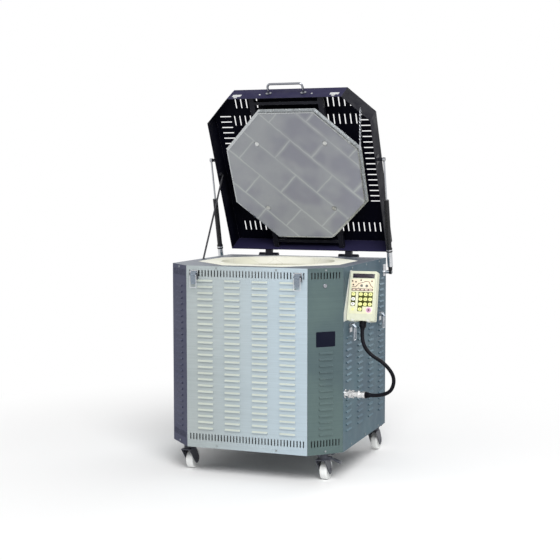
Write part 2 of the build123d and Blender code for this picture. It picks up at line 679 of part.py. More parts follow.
for corner, (caster_x, caster_y) in CASTER_PLACES.items():
    axle_y = caster_y + CASTER_TRAIL
    with BuildPart() as fork:
        with BuildSketch(level(CROWN_TOP_Z)):
            with Locations((caster_x, caster_y)):
                Circle(HEAD_RADIUS)
        extrude(amount=HEAD_HEIGHT)
        with BuildSketch(level(CROWN_TOP_Z - CROWN_THICKNESS)):
            with Locations((caster_x, caster_y + CROWN_MIDDLE)):
                Rectangle(2 * (LEG_INSIDE + LEG_SHEET), CROWN_LENGTH)
        extrude(amount=CROWN_THICKNESS)
        for leg_x in (caster_x + LEG_INSIDE, caster_x - LEG_INSIDE - LEG_SHEET):
            with BuildSketch(facing_right(leg_x)):
                with Locations((axle_y, AXLE_Z)):
                    Circle(LEG_FOOT_RADIUS)
                with Locations((caster_y + CROWN_MIDDLE, CROWN_TOP_Z - CROWN_THICKNESS / 2)):
                    Rectangle(CROWN_LENGTH, CROWN_THICKNESS)
                make_hull()
                with Locations((axle_y, AXLE_Z)):
                    Circle(AXLE_RADIUS + RUNNING, mode=Mode.SUBTRACT)
            extrude(amount=LEG_SHEET)
        with BuildSketch(level(HEAD_TOP_Z)):
            with Locations((caster_x, caster_y)):
                Circle(KINGPIN_RADIUS + RUNNING)
        extrude(amount=-(KINGPIN_LENGTH + 0.5), mode=Mode.SUBTRACT)
        if corner == "front_right":
            for ear_y in (caster_y - 9, caster_y + 6):
                with BuildSketch(facing_rear(ear_y)):
                    with Locations((-(caster_x + PEDAL_PIVOT_X - 1), PEDAL_PIVOT_Z + 2)):
                        Rectangle(14, 14)
                extrude(amount=3)
            with BuildSketch(facing_rear(caster_y - 9)):
                with Locations((-(caster_x + PEDAL_PIVOT_X), PEDAL_PIVOT_Z)):
                    Circle(PEDAL_PIN_RADIUS)
            extrude(amount=18)
    with BuildPart() as axle:
        with BuildSketch(facing_right(caster_x - LEG_INSIDE - LEG_SHEET - 1.5)):
            with Locations((axle_y, AXLE_Z)):
                Circle(AXLE_RADIUS)
        extrude(amount=2 * (LEG_INSIDE + LEG_SHEET + 1.5))
    save_group(f"caster_fork_{corner}", fork, axle)
    with BuildPart() as wheel:
        with BuildSketch(Plane(
            origin=(CABINET_X + caster_x, CABINET_Y + axle_y, WHEEL_RADIUS), x_dir=(1, 0, 0), z_dir=(0, -1, 0)
        )):
            half_profile = [
                (HUB_HALF, AXLE_RADIUS + RUNNING), (HUB_HALF, HUB_RADIUS - 1), (WEB_HALF, HUB_RADIUS),
                (WEB_HALF, TREAD_RADIUS - 2), (WHEEL_WIDTH / 2, TREAD_RADIUS), (WHEEL_WIDTH / 2, WHEEL_RADIUS - 3.5),
                (WHEEL_WIDTH / 2 - 2, WHEEL_RADIUS - 1.2), (TREAD_FLAT, WHEEL_RADIUS),
            ]
            Polygon(*half_profile, *[(-x, radius) for x, radius in reversed(half_profile)], align=None)
        revolve(axis=Axis((CABINET_X + caster_x, CABINET_Y + axle_y, WHEEL_RADIUS), (1, 0, 0)))
    save(wheel, f"caster_wheel_{corner}")

PEDAL_HALF = 5.5
with BuildPart() as brake_pedal:
    pedal_x, pedal_y = CASTER_PLACES["front_right"]
    pivot_x = pedal_x + PEDAL_PIVOT_X
    with BuildSketch(facing_front(pedal_y + PEDAL_HALF)):
        with Locations((pivot_x, PEDAL_PIVOT_Z)):
            Circle(5.0)
        Polygon(
            (pivot_x, PEDAL_PIVOT_Z + 5), (pivot_x + 16, PEDAL_PIVOT_Z + 3), (pedal_x + PEDAL_REACH, PEDAL_PIVOT_Z - 10),
            (pedal_x + PEDAL_REACH - 1, PEDAL_PIVOT_Z - 14), (pivot_x + 14, PEDAL_PIVOT_Z - 3), align=None,
        )
        with Locations((pivot_x, PEDAL_PIVOT_Z)):
            Circle(PEDAL_PIN_RADIUS + RUNNING, mode=Mode.SUBTRACT)
    extrude(amount=2 * PEDAL_HALF)
    with BuildSketch(facing_front(pedal_y + 2.4 * PEDAL_HALF)):
        Polygon(
            (pivot_x + 20, PEDAL_PIVOT_Z + 1), (pedal_x + PEDAL_REACH, PEDAL_PIVOT_Z - 10),
            (pedal_x + PEDAL_REACH - 1, PEDAL_PIVOT_Z - 14), (pivot_x + 19, PEDAL_PIVOT_Z - 3), align=None,
        )
    extrude(amount=4.8 * PEDAL_HALF)
save(brake_pedal, "brake_pedal")

# Toggle latches: base with ears and pin, lever, and bail of bent wire
LATCH_BASE_WIDTH = 34.0
LATCH_BASE_HEIGHT = 36.0
LATCH_BASE_RAISE = 6.0
EAR_INSIDE = 15.0
EAR_SHEET = 2.0
LEVER_HALF = 11.5
LEVER_TIP_HALF = 9.5
LATCH_PIN = (16.0, 8.0)
LATCH_PIN_RADIUS = 2.0
BAIL_PIVOT = (6.0, 18.0)
BAIL_WIRE = 1.3
BAIL_X = 13.2
BAIL_LENGTH = 50.0

LATCHES = {
    "front_left": (facing_front(-HALF), -LATCH_X, LATCH_Z),
    "front_right": (facing_front(-HALF), LATCH_X, LATCH_Z),
    "side_front": (facing_right(HALF), SIDE_LATCH_MIDDLE_Y - SIDE_LATCH_SPREAD, SIDE_LATCH_Z),
    "side_rear": (facing_right(HALF), SIDE_LATCH_MIDDLE_Y + SIDE_LATCH_SPREAD, SIDE_LATCH_Z),
}


def seat(face, u, v):
    """Plane at a place on a face, with the face's own directions."""
    return Plane(origin=face.from_local_coords((u, v, 0)), x_dir=face.x_dir, z_dir=face.z_dir)


def across(mount, offset):
    """Plane across a fitting at an offset along its width; its directions are up and out."""
    return Plane(origin=mount.from_local_coords((offset, 0, 0)), x_dir=mount.y_dir, z_dir=mount.x_dir)


with BuildPart() as latch_bases:
    for face, u, v in LATCHES.values():
        mount = seat(face, u, v)
        with BuildSketch(mount):
            with Locations((0, LATCH_BASE_RAISE)):
                RectangleRounded(LATCH_BASE_WIDTH, LATCH_BASE_HEIGHT, 3)
        extrude(amount=SHEET)
        for ear in (EAR_INSIDE, -EAR_INSIDE - EAR_SHEET):
            with BuildSketch(across(mount, ear)):
                Polygon((4, 0), (24, 0), (22, 10), (18, 13), (12, 13), align=None)
            extrude(amount=EAR_SHEET)
        with BuildSketch(across(mount, -EAR_INSIDE - 1)):
            with Locations(LATCH_PIN):
                Circle(LATCH_PIN_RADIUS)
        extrude(amount=2 * (EAR_INSIDE + 1))
save(latch_bases, "latch_bases")

for latch_name, (face, u, v) in LATCHES.items():
    mount = seat(face, u, v)
    with BuildPart() as lever:
        with BuildSketch(across(mount, -LEVER_HALF)):
            with Locations(LATCH_PIN):
                Circle(4.5)
            with Locations(BAIL_PIVOT):
                Circle(4.0)
            make_hull()
            Polygon((9, 20.5), (3, 14), (-22, 13.3), (-22, 16.3), align=None)
            with Locations(LATCH_PIN):
                Circle(LATCH_PIN_RADIUS + RUNNING, mode=Mode.SUBTRACT)
            with Locations(BAIL_PIVOT):
                Circle(BAIL_WIRE + RUNNING, mode=Mode.SUBTRACT)
        extrude(amount=2 * LEVER_HALF)
        with BuildSketch(across(mount, -LEVER_TIP_HALF)):
            Polygon((-21, 16.4), (-21, 13.4), (-27, 13.2), (-31, 15), (-31, 17.5), (-28, 16.2), align=None)
        extrude(amount=2 * LEVER_TIP_HALF)
    save(lever, f"latch_lever_{latch_name}")
    with BuildPart() as bail:
        pivot_y, pivot_out = BAIL_PIVOT
        route = [
            mount.from_local_coords(Vector(x, y, pivot_out))
            for x, y in (
                (-LEVER_HALF + 3, pivot_y), (-BAIL_X, pivot_y), (-BAIL_X, pivot_y - BAIL_LENGTH),
                (BAIL_X, pivot_y - BAIL_LENGTH), (BAIL_X, pivot_y), (LEVER_HALF - 3, pivot_y),
            )
        ]
        with BuildLine() as wire_line:
            FilletPolyline(*route, radius=1.5)
        with BuildSketch(Plane(origin=route[0], x_dir=mount.y_dir, z_dir=-mount.x_dir)):
            Circle(BAIL_WIRE)
        sweep(path=wire_line.line)
    save(bail, f"latch_bail_{latch_name}")

# Key lock and the blank plate on the right corner panel
LOCK_OUT = 4.0
LOCK_IN = 22.0
ROTOR_RADIUS = 5.0
PLATE_PLACE = (0.0, 559.0)

with BuildPart() as key_lock_barrel:
    lock_seat = seat(facing_corner(1), *KEY_LOCK_PLACE)
    with BuildSketch(lock_seat):
        Circle(KEY_LOCK_RADIUS)
    extrude(amount=LOCK_OUT)
    fillet(key_lock_barrel.faces().sort_by(Axis(lock_seat.origin, lock_seat.z_dir))[-1].edges(), 1.2)
    with BuildSketch(lock_seat):
        Circle(KEY_LOCK_RADIUS - 1.5 - RUNNING)
    extrude(amount=-LOCK_IN)
    with BuildSketch(lock_seat.offset(LOCK_OUT)):
        Circle(ROTOR_RADIUS + RUNNING)
    extrude(amount=-(LOCK_OUT + LOCK_IN - 2), mode=Mode.SUBTRACT)
save(key_lock_barrel, "key_lock_barrel")

with BuildPart() as key_lock_rotor:
    with BuildSketch(lock_seat.offset(LOCK_OUT + 0.5)):
        Circle(ROTOR_RADIUS)
    extrude(amount=-(LOCK_OUT + LOCK_IN - 3))
    with BuildSketch(lock_seat.offset(LOCK_OUT + 0.5)):
        Rectangle(1.4, 6.5)
    extrude(amount=-8, mode=Mode.SUBTRACT)
save(key_lock_rotor, "key_lock_rotor")

with BuildPart() as blank_plate:
    with BuildSketch(seat(facing_corner(1), *PLATE_PLACE)):
        RectangleRounded(84, 60, 3)
    extrude(amount=1.0)
save(blank_plate, "blank_plate")

# Handset on its bracket, leaning back; its face looks to the front
HANDSET_TOP_HALF = 56.0
HANDSET_BOTTOM_HALF = 58.0
TILT = math.radians(HANDSET_TILT_DEG)
HANDSET_FACE = Plane(
    origin=(CABINET_X + HANDSET_X, CABINET_Y + HANDSET_Y, CABINET_Z + HANDSET_Z),
    x_dir=(1, 0, 0),
    z_dir=(0, -math.cos(TILT), math.sin(TILT)),
)
DISPLAY_PLACE = (1.0, 180.5)
DISPLAY_SIZE = (90.0, 18.0)
KEYPAD_PLACE = (-1.0, 98.0)
KEYPAD_SIZE = (96.0, 140.0)
POCKET = 0.8
KEY_COLUMNS = (-6.0, 14.0, 34.0)
KEY_ROWS = (106.5, 86.5, 66.5)
KEY_SIZE = (16.0, 14.0)
KEY_RAISE = 0.8
EXTRA_KEYS = [(-36.0, 106.5), (-36.0, 86.5), (-36.0, 66.5), (-6.0, 46.0), (31.0, 44.0)]

with BuildPart() as handset_case:
    with BuildSketch(HANDSET_FACE):
        Polygon(
            (-HANDSET_BOTTOM_HALF, 0), (HANDSET_BOTTOM_HALF, 0), (HANDSET_TOP_HALF, HANDSET_HEIGHT),
            (-HANDSET_TOP_HALF, HANDSET_HEIGHT), align=None,
        )
    extrude(amount=-HANDSET_DEPTH)
    fillet(handset_case.edges().filter_by(lambda edge: abs(edge.tangent_at(0).dot(HANDSET_FACE.z_dir)) > 0.99), 7)
    fillet(handset_case.faces().sort_by(Axis(HANDSET_FACE.origin, HANDSET_FACE.z_dir))[-1].edges(), 2.5)
    with BuildSketch(HANDSET_FACE):
        with Locations(DISPLAY_PLACE):
            Rectangle(*DISPLAY_SIZE)
        with Locations(KEYPAD_PLACE):
            Rectangle(*KEYPAD_SIZE)
    extrude(amount=-POCKET, mode=Mode.SUBTRACT)
save(handset_case, "handset_case")

with BuildPart() as display_window:
    with BuildSketch(HANDSET_FACE.offset(-POCKET)):
        with Locations(DISPLAY_PLACE):
            Rectangle(DISPLAY_SIZE[0] - 0.4, DISPLAY_SIZE[1] - 0.4)
    extrude(amount=POCKET - 0.2)

with BuildPart() as keypad:
    with BuildSketch(HANDSET_FACE.offset(-POCKET)):
        with Locations(KEYPAD_PLACE):
            Rectangle(KEYPAD_SIZE[0] - 0.4, KEYPAD_SIZE[1] - 0.4)
    extrude(amount=POCKET - 0.2)
    with BuildSketch(HANDSET_FACE.offset(-0.2)):
        with Locations(*[(u, v) for u in KEY_COLUMNS for v in KEY_ROWS], *EXTRA_KEYS):
            RectangleRounded(*KEY_SIZE, 2)
    extrude(amount=KEY_RAISE)
save_group("handset_membrane", keypad, display_window)

BRACKET_SHEET = 1.5
CRADLE_HALF = 38.0
with BuildPart() as handset_bracket:
    with BuildSketch(facing_right(HALF)):
        Polygon((-257, 625), (-257, 660), (-172, 822), (-150, 822), (-150, 625), align=None)
    extrude(amount=BRACKET_SHEET)
    with BuildSketch(HANDSET_FACE.offset(-HANDSET_DEPTH)):
        with Locations(((HALF - HANDSET_X + 30) / 2, 96)):
            Rectangle(30 - (HALF - HANDSET_X), 168)
    extrude(amount=-BRACKET_SHEET)
    for tab_x in (-CRADLE_HALF, CRADLE_HALF - 12):
        with BuildSketch(across(seat(HANDSET_FACE, tab_x, 0), 0)):
            Polygon(
                (0, -HANDSET_DEPTH - BRACKET_SHEET), (20, -HANDSET_DEPTH - BRACKET_SHEET), (20, -HANDSET_DEPTH),
                (0, -HANDSET_DEPTH), (0, 0.4), (6, 0.4), (6, 2.4), (-2, 2.4), (-2, -HANDSET_DEPTH - BRACKET_SHEET),
                align=None,
            )
        extrude(amount=12)
save(handset_bracket, "handset_bracket")

# Cable from the handset to the socket on the side panel
BOOT_LENGTH = 34.0
BOOT_PLACE = (7.0, -16.0)
BOOT_AXIS = Plane(
    origin=HANDSET_FACE.from_local_coords((BOOT_PLACE[0], 0, BOOT_PLACE[1])),
    x_dir=(1, 0, 0),
    z_dir=-HANDSET_FACE.y_dir,
)
PLUG_START = 14.0
PLUG_LENGTH = 70.0
PLUG_BOOT = 23.0
PLUG_RADIUS = 17.0

with BuildPart() as handset_gland:
    with BuildSketch(BOOT_AXIS):
        Circle(15.5)
    extrude(amount=5)
    with BuildSketch(BOOT_AXIS.offset(5)):
        Circle(14)
    with BuildSketch(BOOT_AXIS.offset(BOOT_LENGTH)):
        Circle(CABLE_DIAMETER / 2 + 1.5)
    loft()
save(handset_gland, "handset_gland")

cable_start = BOOT_AXIS.from_local_coords((0, 0, BOOT_LENGTH))
cable_down = BOOT_AXIS.from_local_coords((0, 0, BOOT_LENGTH + 44.0))
plug_end_x = HALF + PLUG_START + PLUG_LENGTH + PLUG_BOOT
CABLE_ROUTE = [
    cable_start,
    cable_down,
    Vector(CABINET_X + 470.0, CABINET_Y - 238.0, CABINET_Z + 498.0),
    Vector(CABINET_X + 537.0, CABINET_Y - 238.0, CABINET_Z + 464.0),
    Vector(CABINET_X + 580.0, CABINET_Y - 236.0, CABINET_Z + 403.0),
    Vector(CABINET_X + 550.0, CABINET_Y + PLUG_Y, CABINET_Z + PLUG_Z),
    Vector(CABINET_X + plug_end_x, CABINET_Y + PLUG_Y, CABINET_Z + PLUG_Z),
]


def route_radii(points):
    """Bend radius at each inner point of a route: 0.45 of its shorter run over the tangent of half the turn."""
    radii = []
    for before, corner, after in zip(points, points[1:], points[2:]):
        first = corner - before
        second = after - corner
        half_turn = math.radians(first.get_angle(second)) / 2
        radii.append(0.45 * min(first.length, second.length) / math.tan(half_turn))
    return radii


cable_radii = route_radii(CABLE_ROUTE)
with BuildPart() as handset_cable:
    with BuildLine() as cable_line:
        FilletPolyline(*CABLE_ROUTE, radius=cable_radii)
    with BuildSketch(Plane(origin=cable_start, x_dir=(1, 0, 0), z_dir=BOOT_AXIS.z_dir)):
        Circle(CABLE_DIAMETER / 2)
    sweep(path=cable_line.line)
save(handset_cable, "handset_cable")
cable_length = sum(edge.length for edge in cable_line.edges())
cable_section = math.pi * CABLE_DIAMETER**2 / 4
print("cable route", [tuple(round(value, 2) for value in point) for point in CABLE_ROUTE])
print("cable radii", [round(radius, 1) for radius in cable_radii], "length", round(cable_length, 1))
print("cable volume over section times length", round(handset_cable.part.volume / (cable_section * cable_length), 4))

with BuildPart() as panel_socket:
    with BuildSketch(seat(facing_right(HALF), *SOCKET_PLACE)):
        Circle(PLUG_RADIUS + 1)
    extrude(amount=PLUG_START)
    with BuildSketch(seat(facing_right(HALF), *SOCKET_PLACE)):
        Circle(SOCKET_RADIUS - 2.0 - SCREW_CLEARANCE)
    extrude(amount=-GLAND_INSIDE)

with BuildPart() as cable_plug:
    plug_seat = seat(facing_right(HALF + PLUG_START), *SOCKET_PLACE)
    with BuildSketch(plug_seat):
        Circle(PLUG_RADIUS)
    extrude(amount=22)
    with BuildSketch(plug_seat.offset(22)):
        Circle(PLUG_RADIUS - 2)
    extrude(amount=PLUG_LENGTH - 22)

with BuildPart() as plug_boot:
    with BuildSketch(plug_seat.offset(PLUG_LENGTH)):
        Circle(PLUG_RADIUS - 3)
    with BuildSketch(plug_seat.offset(PLUG_LENGTH + PLUG_BOOT)):
        Circle(CABLE_DIAMETER / 2 + 1.5)
    loft()
save_group("cable_plug", panel_socket, cable_plug, plug_boot)

# Hinges of the lid
HINGE_X = 191.0
HINGE_HALF = 45.0
KNUCKLE_HALF = 15.5
KNUCKLE_GAP = 0.5
KNUCKLE_RADIUS = 8.0
PIN_RADIUS = 4.0
PIN_Y = HALF + PIN_BEHIND

with BuildPart() as hinge_brackets:
    for hinge_x in (-HINGE_X, HINGE_X):
        with BuildSketch(seat(facing_rear(HALF), -hinge_x, TOP_Z - 28)):
            Rectangle(2 * HINGE_HALF, 48)
        extrude(amount=4)
        for start in (hinge_x - HINGE_HALF, hinge_x + KNUCKLE_HALF + KNUCKLE_GAP):
            with BuildSketch(facing_right(start)):
                with Locations((PIN_Y, PIN_Z)):
                    Circle(KNUCKLE_RADIUS)
                with Locations((HALF + 2, TOP_Z - 22)):
                    Rectangle(4, 32)
                make_hull()
                with Locations((PIN_Y, PIN_Z)):
                    Circle(PIN_RADIUS + RUNNING, mode=Mode.SUBTRACT)
            extrude(amount=HINGE_HALF - KNUCKLE_HALF - KNUCKLE_GAP)

with BuildPart() as hinge_pins:
    for hinge_x in (-HINGE_X, HINGE_X):
        with BuildSketch(facing_right(hinge_x - HINGE_HALF - 3)):
            with Locations((PIN_Y, PIN_Z)):
                Circle(PIN_RADIUS)
        extrude(amount=2 * HINGE_HALF + 6)
        with BuildSketch(facing_right(hinge_x - HINGE_HALF - 3)):
            with Locations((PIN_Y, PIN_Z)):
                Circle(PIN_RADIUS + 2)
        extrude(amount=2.5)
save_group("hinge_brackets", hinge_brackets, hinge_pins)

with BuildPart() as lid_hinge_leaves:
    for hinge_x in (-HINGE_X, HINGE_X):
        with BuildSketch(lid_side(hinge_x - HINGE_HALF, 1)):
            with Locations((HALF + 1.5, 24)):
                Rectangle(3, 40)
        extrude(amount=2 * HINGE_HALF)
        with BuildSketch(lid_side(hinge_x - KNUCKLE_HALF, 1)):
            with Locations((PIN_Y, 0)):
                Circle(KNUCKLE_RADIUS)
            with Locations((HALF + 1.5, 18)):
                Rectangle(3, 24)
            make_hull()
            with Locations((PIN_Y, 0)):
                Circle(PIN_RADIUS + RUNNING, mode=Mode.SUBTRACT)
        extrude(amount=2 * KNUCKLE_HALF)

# Lid shell with its vent slots
ROOF_SLOT = 5.0
SLOT_LENGTH = 46.0
# Rows of roof slots: y, x of the first slot on each side, slots on each side
SLOT_ROWS = ((-309.0, 162.5, 5), (-227.0, 155.0, 6), (300.0, 150.0, 8))
SIDE_SLOT_X = 323.0
SIDE_SLOT_LENGTH = 52.0
SIDE_SLOT_COUNT = 17
SIDE_SLOT_PITCH = 26.0
SIDE_SLOT_Y = -39.0
LID_SCREW_PLACES = [(-118.0, 38.0), (118.0, 38.0)]

with BuildPart() as lid_shell:
    with BuildSketch(lid_level(0)):
        Polygon(*outline(0), align=None)
    extrude(amount=LID_DEPTH)
    with BuildSketch(lid_level(0)):
        Polygon(*outline(SHEET), align=None)
    extrude(amount=LID_DEPTH - SHEET, mode=Mode.SUBTRACT)
    with BuildSketch(lid_level(LID_DEPTH)):
        for row_y, first_x, count in SLOT_ROWS:
            with Locations(*[(side * (first_x + LOUVRE_PITCH * k), row_y) for side in (-1, 1) for k in range(count)]):
                Rectangle(ROOF_SLOT, SLOT_LENGTH)
        with Locations(*[
            (side * SIDE_SLOT_X, SIDE_SLOT_Y + y) for side in (-1, 1) for y in row_places(SIDE_SLOT_COUNT, SIDE_SLOT_PITCH)
        ]):
            Rectangle(SIDE_SLOT_LENGTH, ROOF_SLOT)
    extrude(amount=-SHEET, mode=Mode.SUBTRACT)
    cut_holes(lid_front(-HALF), LID_SCREW_PLACES, SCREW_RADIUS + SCREW_CLEARANCE, SHEET)
save(lid_shell, "lid_shell")

with BuildPart() as lid_screws:
    add_screws(lid_front(-HALF), LID_SCREW_PLACES, SCREW_LENGTH)

# Slab, its band and the frame that carries it
BAND_SHEET = 1.2
BAND_LIP = 3.0
BAND_LIP_SHEET = 1.0
BAND_FLANGE = 8.0
BOLT_SHANK = 5.0
COUNTERBORE_RADIUS = 11.0
COUNTERBORE_DEPTH = 6.0
SLAB_BOLTS = [(x, y) for x in (-SLAB_BOLT_X, SLAB_BOLT_X) for y in (-SLAB_BOLT_Y, SLAB_BOLT_Y)]
RAIL_TOP = SLAB_THICKNESS + RAIL_DEPTH
CROSSBAR_Y = 337.0
CROSSBAR_WIDTH = 13.0
CROSSBAR_DEPTH = 18.0

with BuildPart() as lid_slab:
    with BuildSketch(lid_level(0)):
        octagon(SLAB_FLATS)
        with Locations(*SLAB_BOLTS):
            Circle(BOLT_SHANK + BOLT_CLEARANCE, mode=Mode.SUBTRACT)
    extrude(amount=SLAB_THICKNESS)
    with BuildSketch(lid_level(0)):
        with Locations(*SLAB_BOLTS):
            Circle(COUNTERBORE_RADIUS)
    extrude(amount=COUNTERBORE_DEPTH, mode=Mode.SUBTRACT)

with BuildPart() as slab_band:
    with BuildSketch(lid_level(-BAND_LIP_SHEET)):
        octagon(SLAB_FLATS + 2 * BAND_SHEET)
        octagon(SLAB_FLATS - 2 * BAND_LIP, mode=Mode.SUBTRACT)
    extrude(amount=BAND_LIP_SHEET)
    with BuildSketch(lid_level(0)):
        octagon(SLAB_FLATS + 2 * BAND_SHEET)
        octagon(SLAB_FLATS, mode=Mode.SUBTRACT)
    extrude(amount=SLAB_THICKNESS)
    with BuildSketch(lid_level(SLAB_THICKNESS)):
        octagon(SLAB_FLATS + 2 * BAND_SHEET + 2 * BAND_FLANGE)
        octagon(SLAB_FLATS, mode=Mode.SUBTRACT)
    extrude(amount=-BAND_SHEET)
save(slab_band, "slab_band")

with BuildPart() as band_screws:
    with BuildSketch(lid_level(SLAB_THICKNESS - BAND_SHEET)):
        with PolarLocations(SLAB_FLATS / 2 + BAND_SHEET + BAND_FLANGE / 2, 8):
            with Locations((0, -60), (0, 0), (0, 60)):
                Circle(2.5)
    extrude(amount=-2.0)

with BuildPart() as slab_rails:
    with BuildSketch(lid_level(SLAB_THICKNESS)):
        with Locations((-SLAB_BOLT_X, 0), (SLAB_BOLT_X, 0)):
            Rectangle(RAIL_WIDTH, WIDTH - 2 * SHEET)
        with Locations(*SLAB_BOLTS):
            Circle(BOLT_SHANK + BOLT_CLEARANCE, mode=Mode.SUBTRACT)
    extrude(amount=RAIL_DEPTH)

with BuildPart() as slab_crossbars:
    with BuildSketch(lid_level(SLAB_THICKNESS)):
        with Locations((0, -CROSSBAR_Y), (0, CROSSBAR_Y)):
            Rectangle(2 * SLAB_BOLT_X - RAIL_WIDTH, CROSSBAR_WIDTH)
    extrude(amount=CROSSBAR_DEPTH)
save_group("slab_frame", slab_rails, slab_crossbars)

with BuildPart() as slab_bolts:
    with BuildSketch(lid_level(1.5)):
        with Locations(*SLAB_BOLTS):
            Circle(COUNTERBORE_RADIUS - 1.5)
    extrude(amount=COUNTERBORE_DEPTH - 1.5)
    with BuildSketch(lid_level(COUNTERBORE_DEPTH)):
        with Locations(*SLAB_BOLTS):
            Circle(BOLT_SHANK)
    extrude(amount=RAIL_TOP - COUNTERBORE_DEPTH)
    with BuildSketch(lid_level(RAIL_TOP)):
        with Locations(*SLAB_BOLTS):
            RegularPolygon(radius=1.7 * BOLT_SHANK, side_count=6)
    extrude(amount=8)
save_group("lid_fasteners", lid_screws, band_screws, slab_bolts)

with BuildPart() as lid_insulation:
    with BuildSketch(lid_level(RAIL_TOP)):
        octagon(510)
        with Locations(*SLAB_BOLTS):
            Circle(2.4 * BOLT_SHANK, mode=Mode.SUBTRACT)
    extrude(amount=38)
save_group("lid_slab", lid_slab, lid_insulation)

# Pull handle, strikes and the screw eye of the chain
HANDLE_HALF = 79.0
HANDLE_DEPTH = 45.0
HANDLE_OUT = 45.0
HANDLE_RADIUS = 5.0
STRIKE_DEPTH = 31.0

with BuildPart() as lid_handle:
    with BuildSketch(lid_front(-HALF)):
        with Locations((-HANDLE_HALF, HANDLE_DEPTH), (HANDLE_HALF, HANDLE_DEPTH)):
            Circle(13)
    extrude(amount=4)
    handle_route = [
        lid_level(HANDLE_DEPTH).from_local_coords(Vector(x, y, 0))
        for x, y in (
            (-HANDLE_HALF, -HALF - 2), (-HANDLE_HALF, -HALF - HANDLE_OUT),
            (HANDLE_HALF, -HALF - HANDLE_OUT), (HANDLE_HALF, -HALF - 2),
        )
    ]
    with BuildLine() as handle_line:
        FilletPolyline(*handle_route, radius=14)
    with BuildSketch(Plane(origin=handle_route[0], x_dir=(1, 0, 0), z_dir=lid_front(0).z_dir)):
        Circle(HANDLE_RADIUS)
    sweep(path=handle_line.line)
save(lid_handle, "lid_handle")

with BuildPart() as strike_plates:
    for strike_x in (-LATCH_X, LATCH_X):
        strike_seat = seat(lid_front(-HALF), strike_x, STRIKE_DEPTH)
        with BuildSketch(strike_seat):
            RectangleRounded(40, 20, 2)
        extrude(amount=2)
        with BuildSketch(across(strike_seat, -6)):
            Polygon(
                (-9, 0), (-9, 2), (-23.5, 2), (-23.5, 11.5), (-20, 11.5), (-20, 13), (-26, 13), (-26, 0), align=None
            )
        extrude(amount=12)
save(strike_plates, "strike_plates")

CHAIN_PLACE = (16.0, 3.2)
CHAIN_STAND_OFF = 10.0
CHAIN_RING = 6.0
CHAIN_LENGTH = 128.0
SNAP_LENGTH = 42.0
SNAP_WIDTH = 14.0
SNAP_WALL = 3.0

with BuildPart() as chain_eye:
    eye_seat = seat(lid_corner(1), *CHAIN_PLACE)
    with BuildSketch(eye_seat):
        Circle(3)
    extrude(amount=1.5)
    with BuildSketch(eye_seat):
        Circle(1.5)
    extrude(amount=CHAIN_STAND_OFF + 4)
    with BuildSketch(eye_seat.offset(CHAIN_STAND_OFF + 3)):
        Circle(2.3)
    extrude(amount=2)

chain_centre = eye_seat.from_local_coords((0, 0, CHAIN_STAND_OFF))
with BuildPart() as lid_chain:
    with BuildSketch(Plane(origin=chain_centre, x_dir=(0, 1, 0), z_dir=(1, 0, 0))):
        Circle(CHAIN_RING)
        with Locations((0, -CHAIN_RING - CHAIN_LENGTH / 2 + 1)):
            Rectangle(3, CHAIN_LENGTH)
        with Locations((0, -CHAIN_RING - CHAIN_LENGTH - SNAP_LENGTH / 2 + 2)):
            SlotOverall(SNAP_LENGTH, SNAP_WIDTH, rotation=90)
            SlotOverall(SNAP_LENGTH - 2 * SNAP_WALL, SNAP_WIDTH - 2 * SNAP_WALL, rotation=90, mode=Mode.SUBTRACT)
        Circle(CHAIN_RING - 1.5, mode=Mode.SUBTRACT)
    extrude(amount=1.2, both=True)
save(lid_chain, "lid_chain")

# Gas struts
FOOT = Vector(0, STRUT_FOOT_Y, STRUT_FOOT_Z)
EYE = Vector(*lid_point(0, STRUT_EYE_Y, STRUT_EYE_DEPTH)) - Vector(CABINET_X, CABINET_Y, CABINET_Z)
STRUT_LENGTH = (EYE - FOOT).length
STRUT_AXIS = (EYE - FOOT).normalized()
STRUT_EYE_HALF = 5.0
STUD_RADIUS = 4.0
CYLINDER_TOP = 326.0
CYLINDER_RADIUS = 11.0
CYLINDER_LOW_RADIUS = 9.0
SLEEVE_TOP = 112.0
SLEEVE_BOTTOM = 24.0
ROD_RADIUS = 4.0
ROD_CLEARANCE = 0.1
ROD_START = 150.0
BORE_START = 50.0

with BuildPart() as strut_brackets:
    for side, face in ((-1, facing_left(-HALF)), (1, facing_right(HALF))):
        foot_seat = seat(face, side * STRUT_FOOT_Y, STRUT_FOOT_Z)
        with BuildSketch(foot_seat):
            with Locations((0, 8)):
                RectangleRounded(38, 52, 4)
        extrude(amount=2.5)
        with BuildSketch(foot_seat):
            Circle(STUD_RADIUS)
        extrude(amount=STRUT_X - HALF + STRUT_EYE_HALF + 3)
        with BuildSketch(foot_seat):
            Circle(STUD_RADIUS + 4)
        extrude(amount=STRUT_X - HALF - STRUT_EYE_HALF - 0.5)
        with BuildSketch(foot_seat.offset(STRUT_X - HALF + STRUT_EYE_HALF + 0.5)):
            Circle(STUD_RADIUS + 2)
        extrude(amount=3)
save(strut_brackets, "strut_brackets")

with BuildPart() as lid_strut_studs:
    for side in (-1, 1):
        stud_seat = seat(lid_side(side * HALF, side), side * STRUT_EYE_Y, STRUT_EYE_DEPTH)
        with BuildSketch(stud_seat):
            RectangleRounded(36, 40, 4)
        extrude(amount=2.5)
        with BuildSketch(stud_seat):
            Circle(STUD_RADIUS + 3)
        extrude(amount=STRUT_X - HALF - STRUT_EYE_HALF - 0.5)

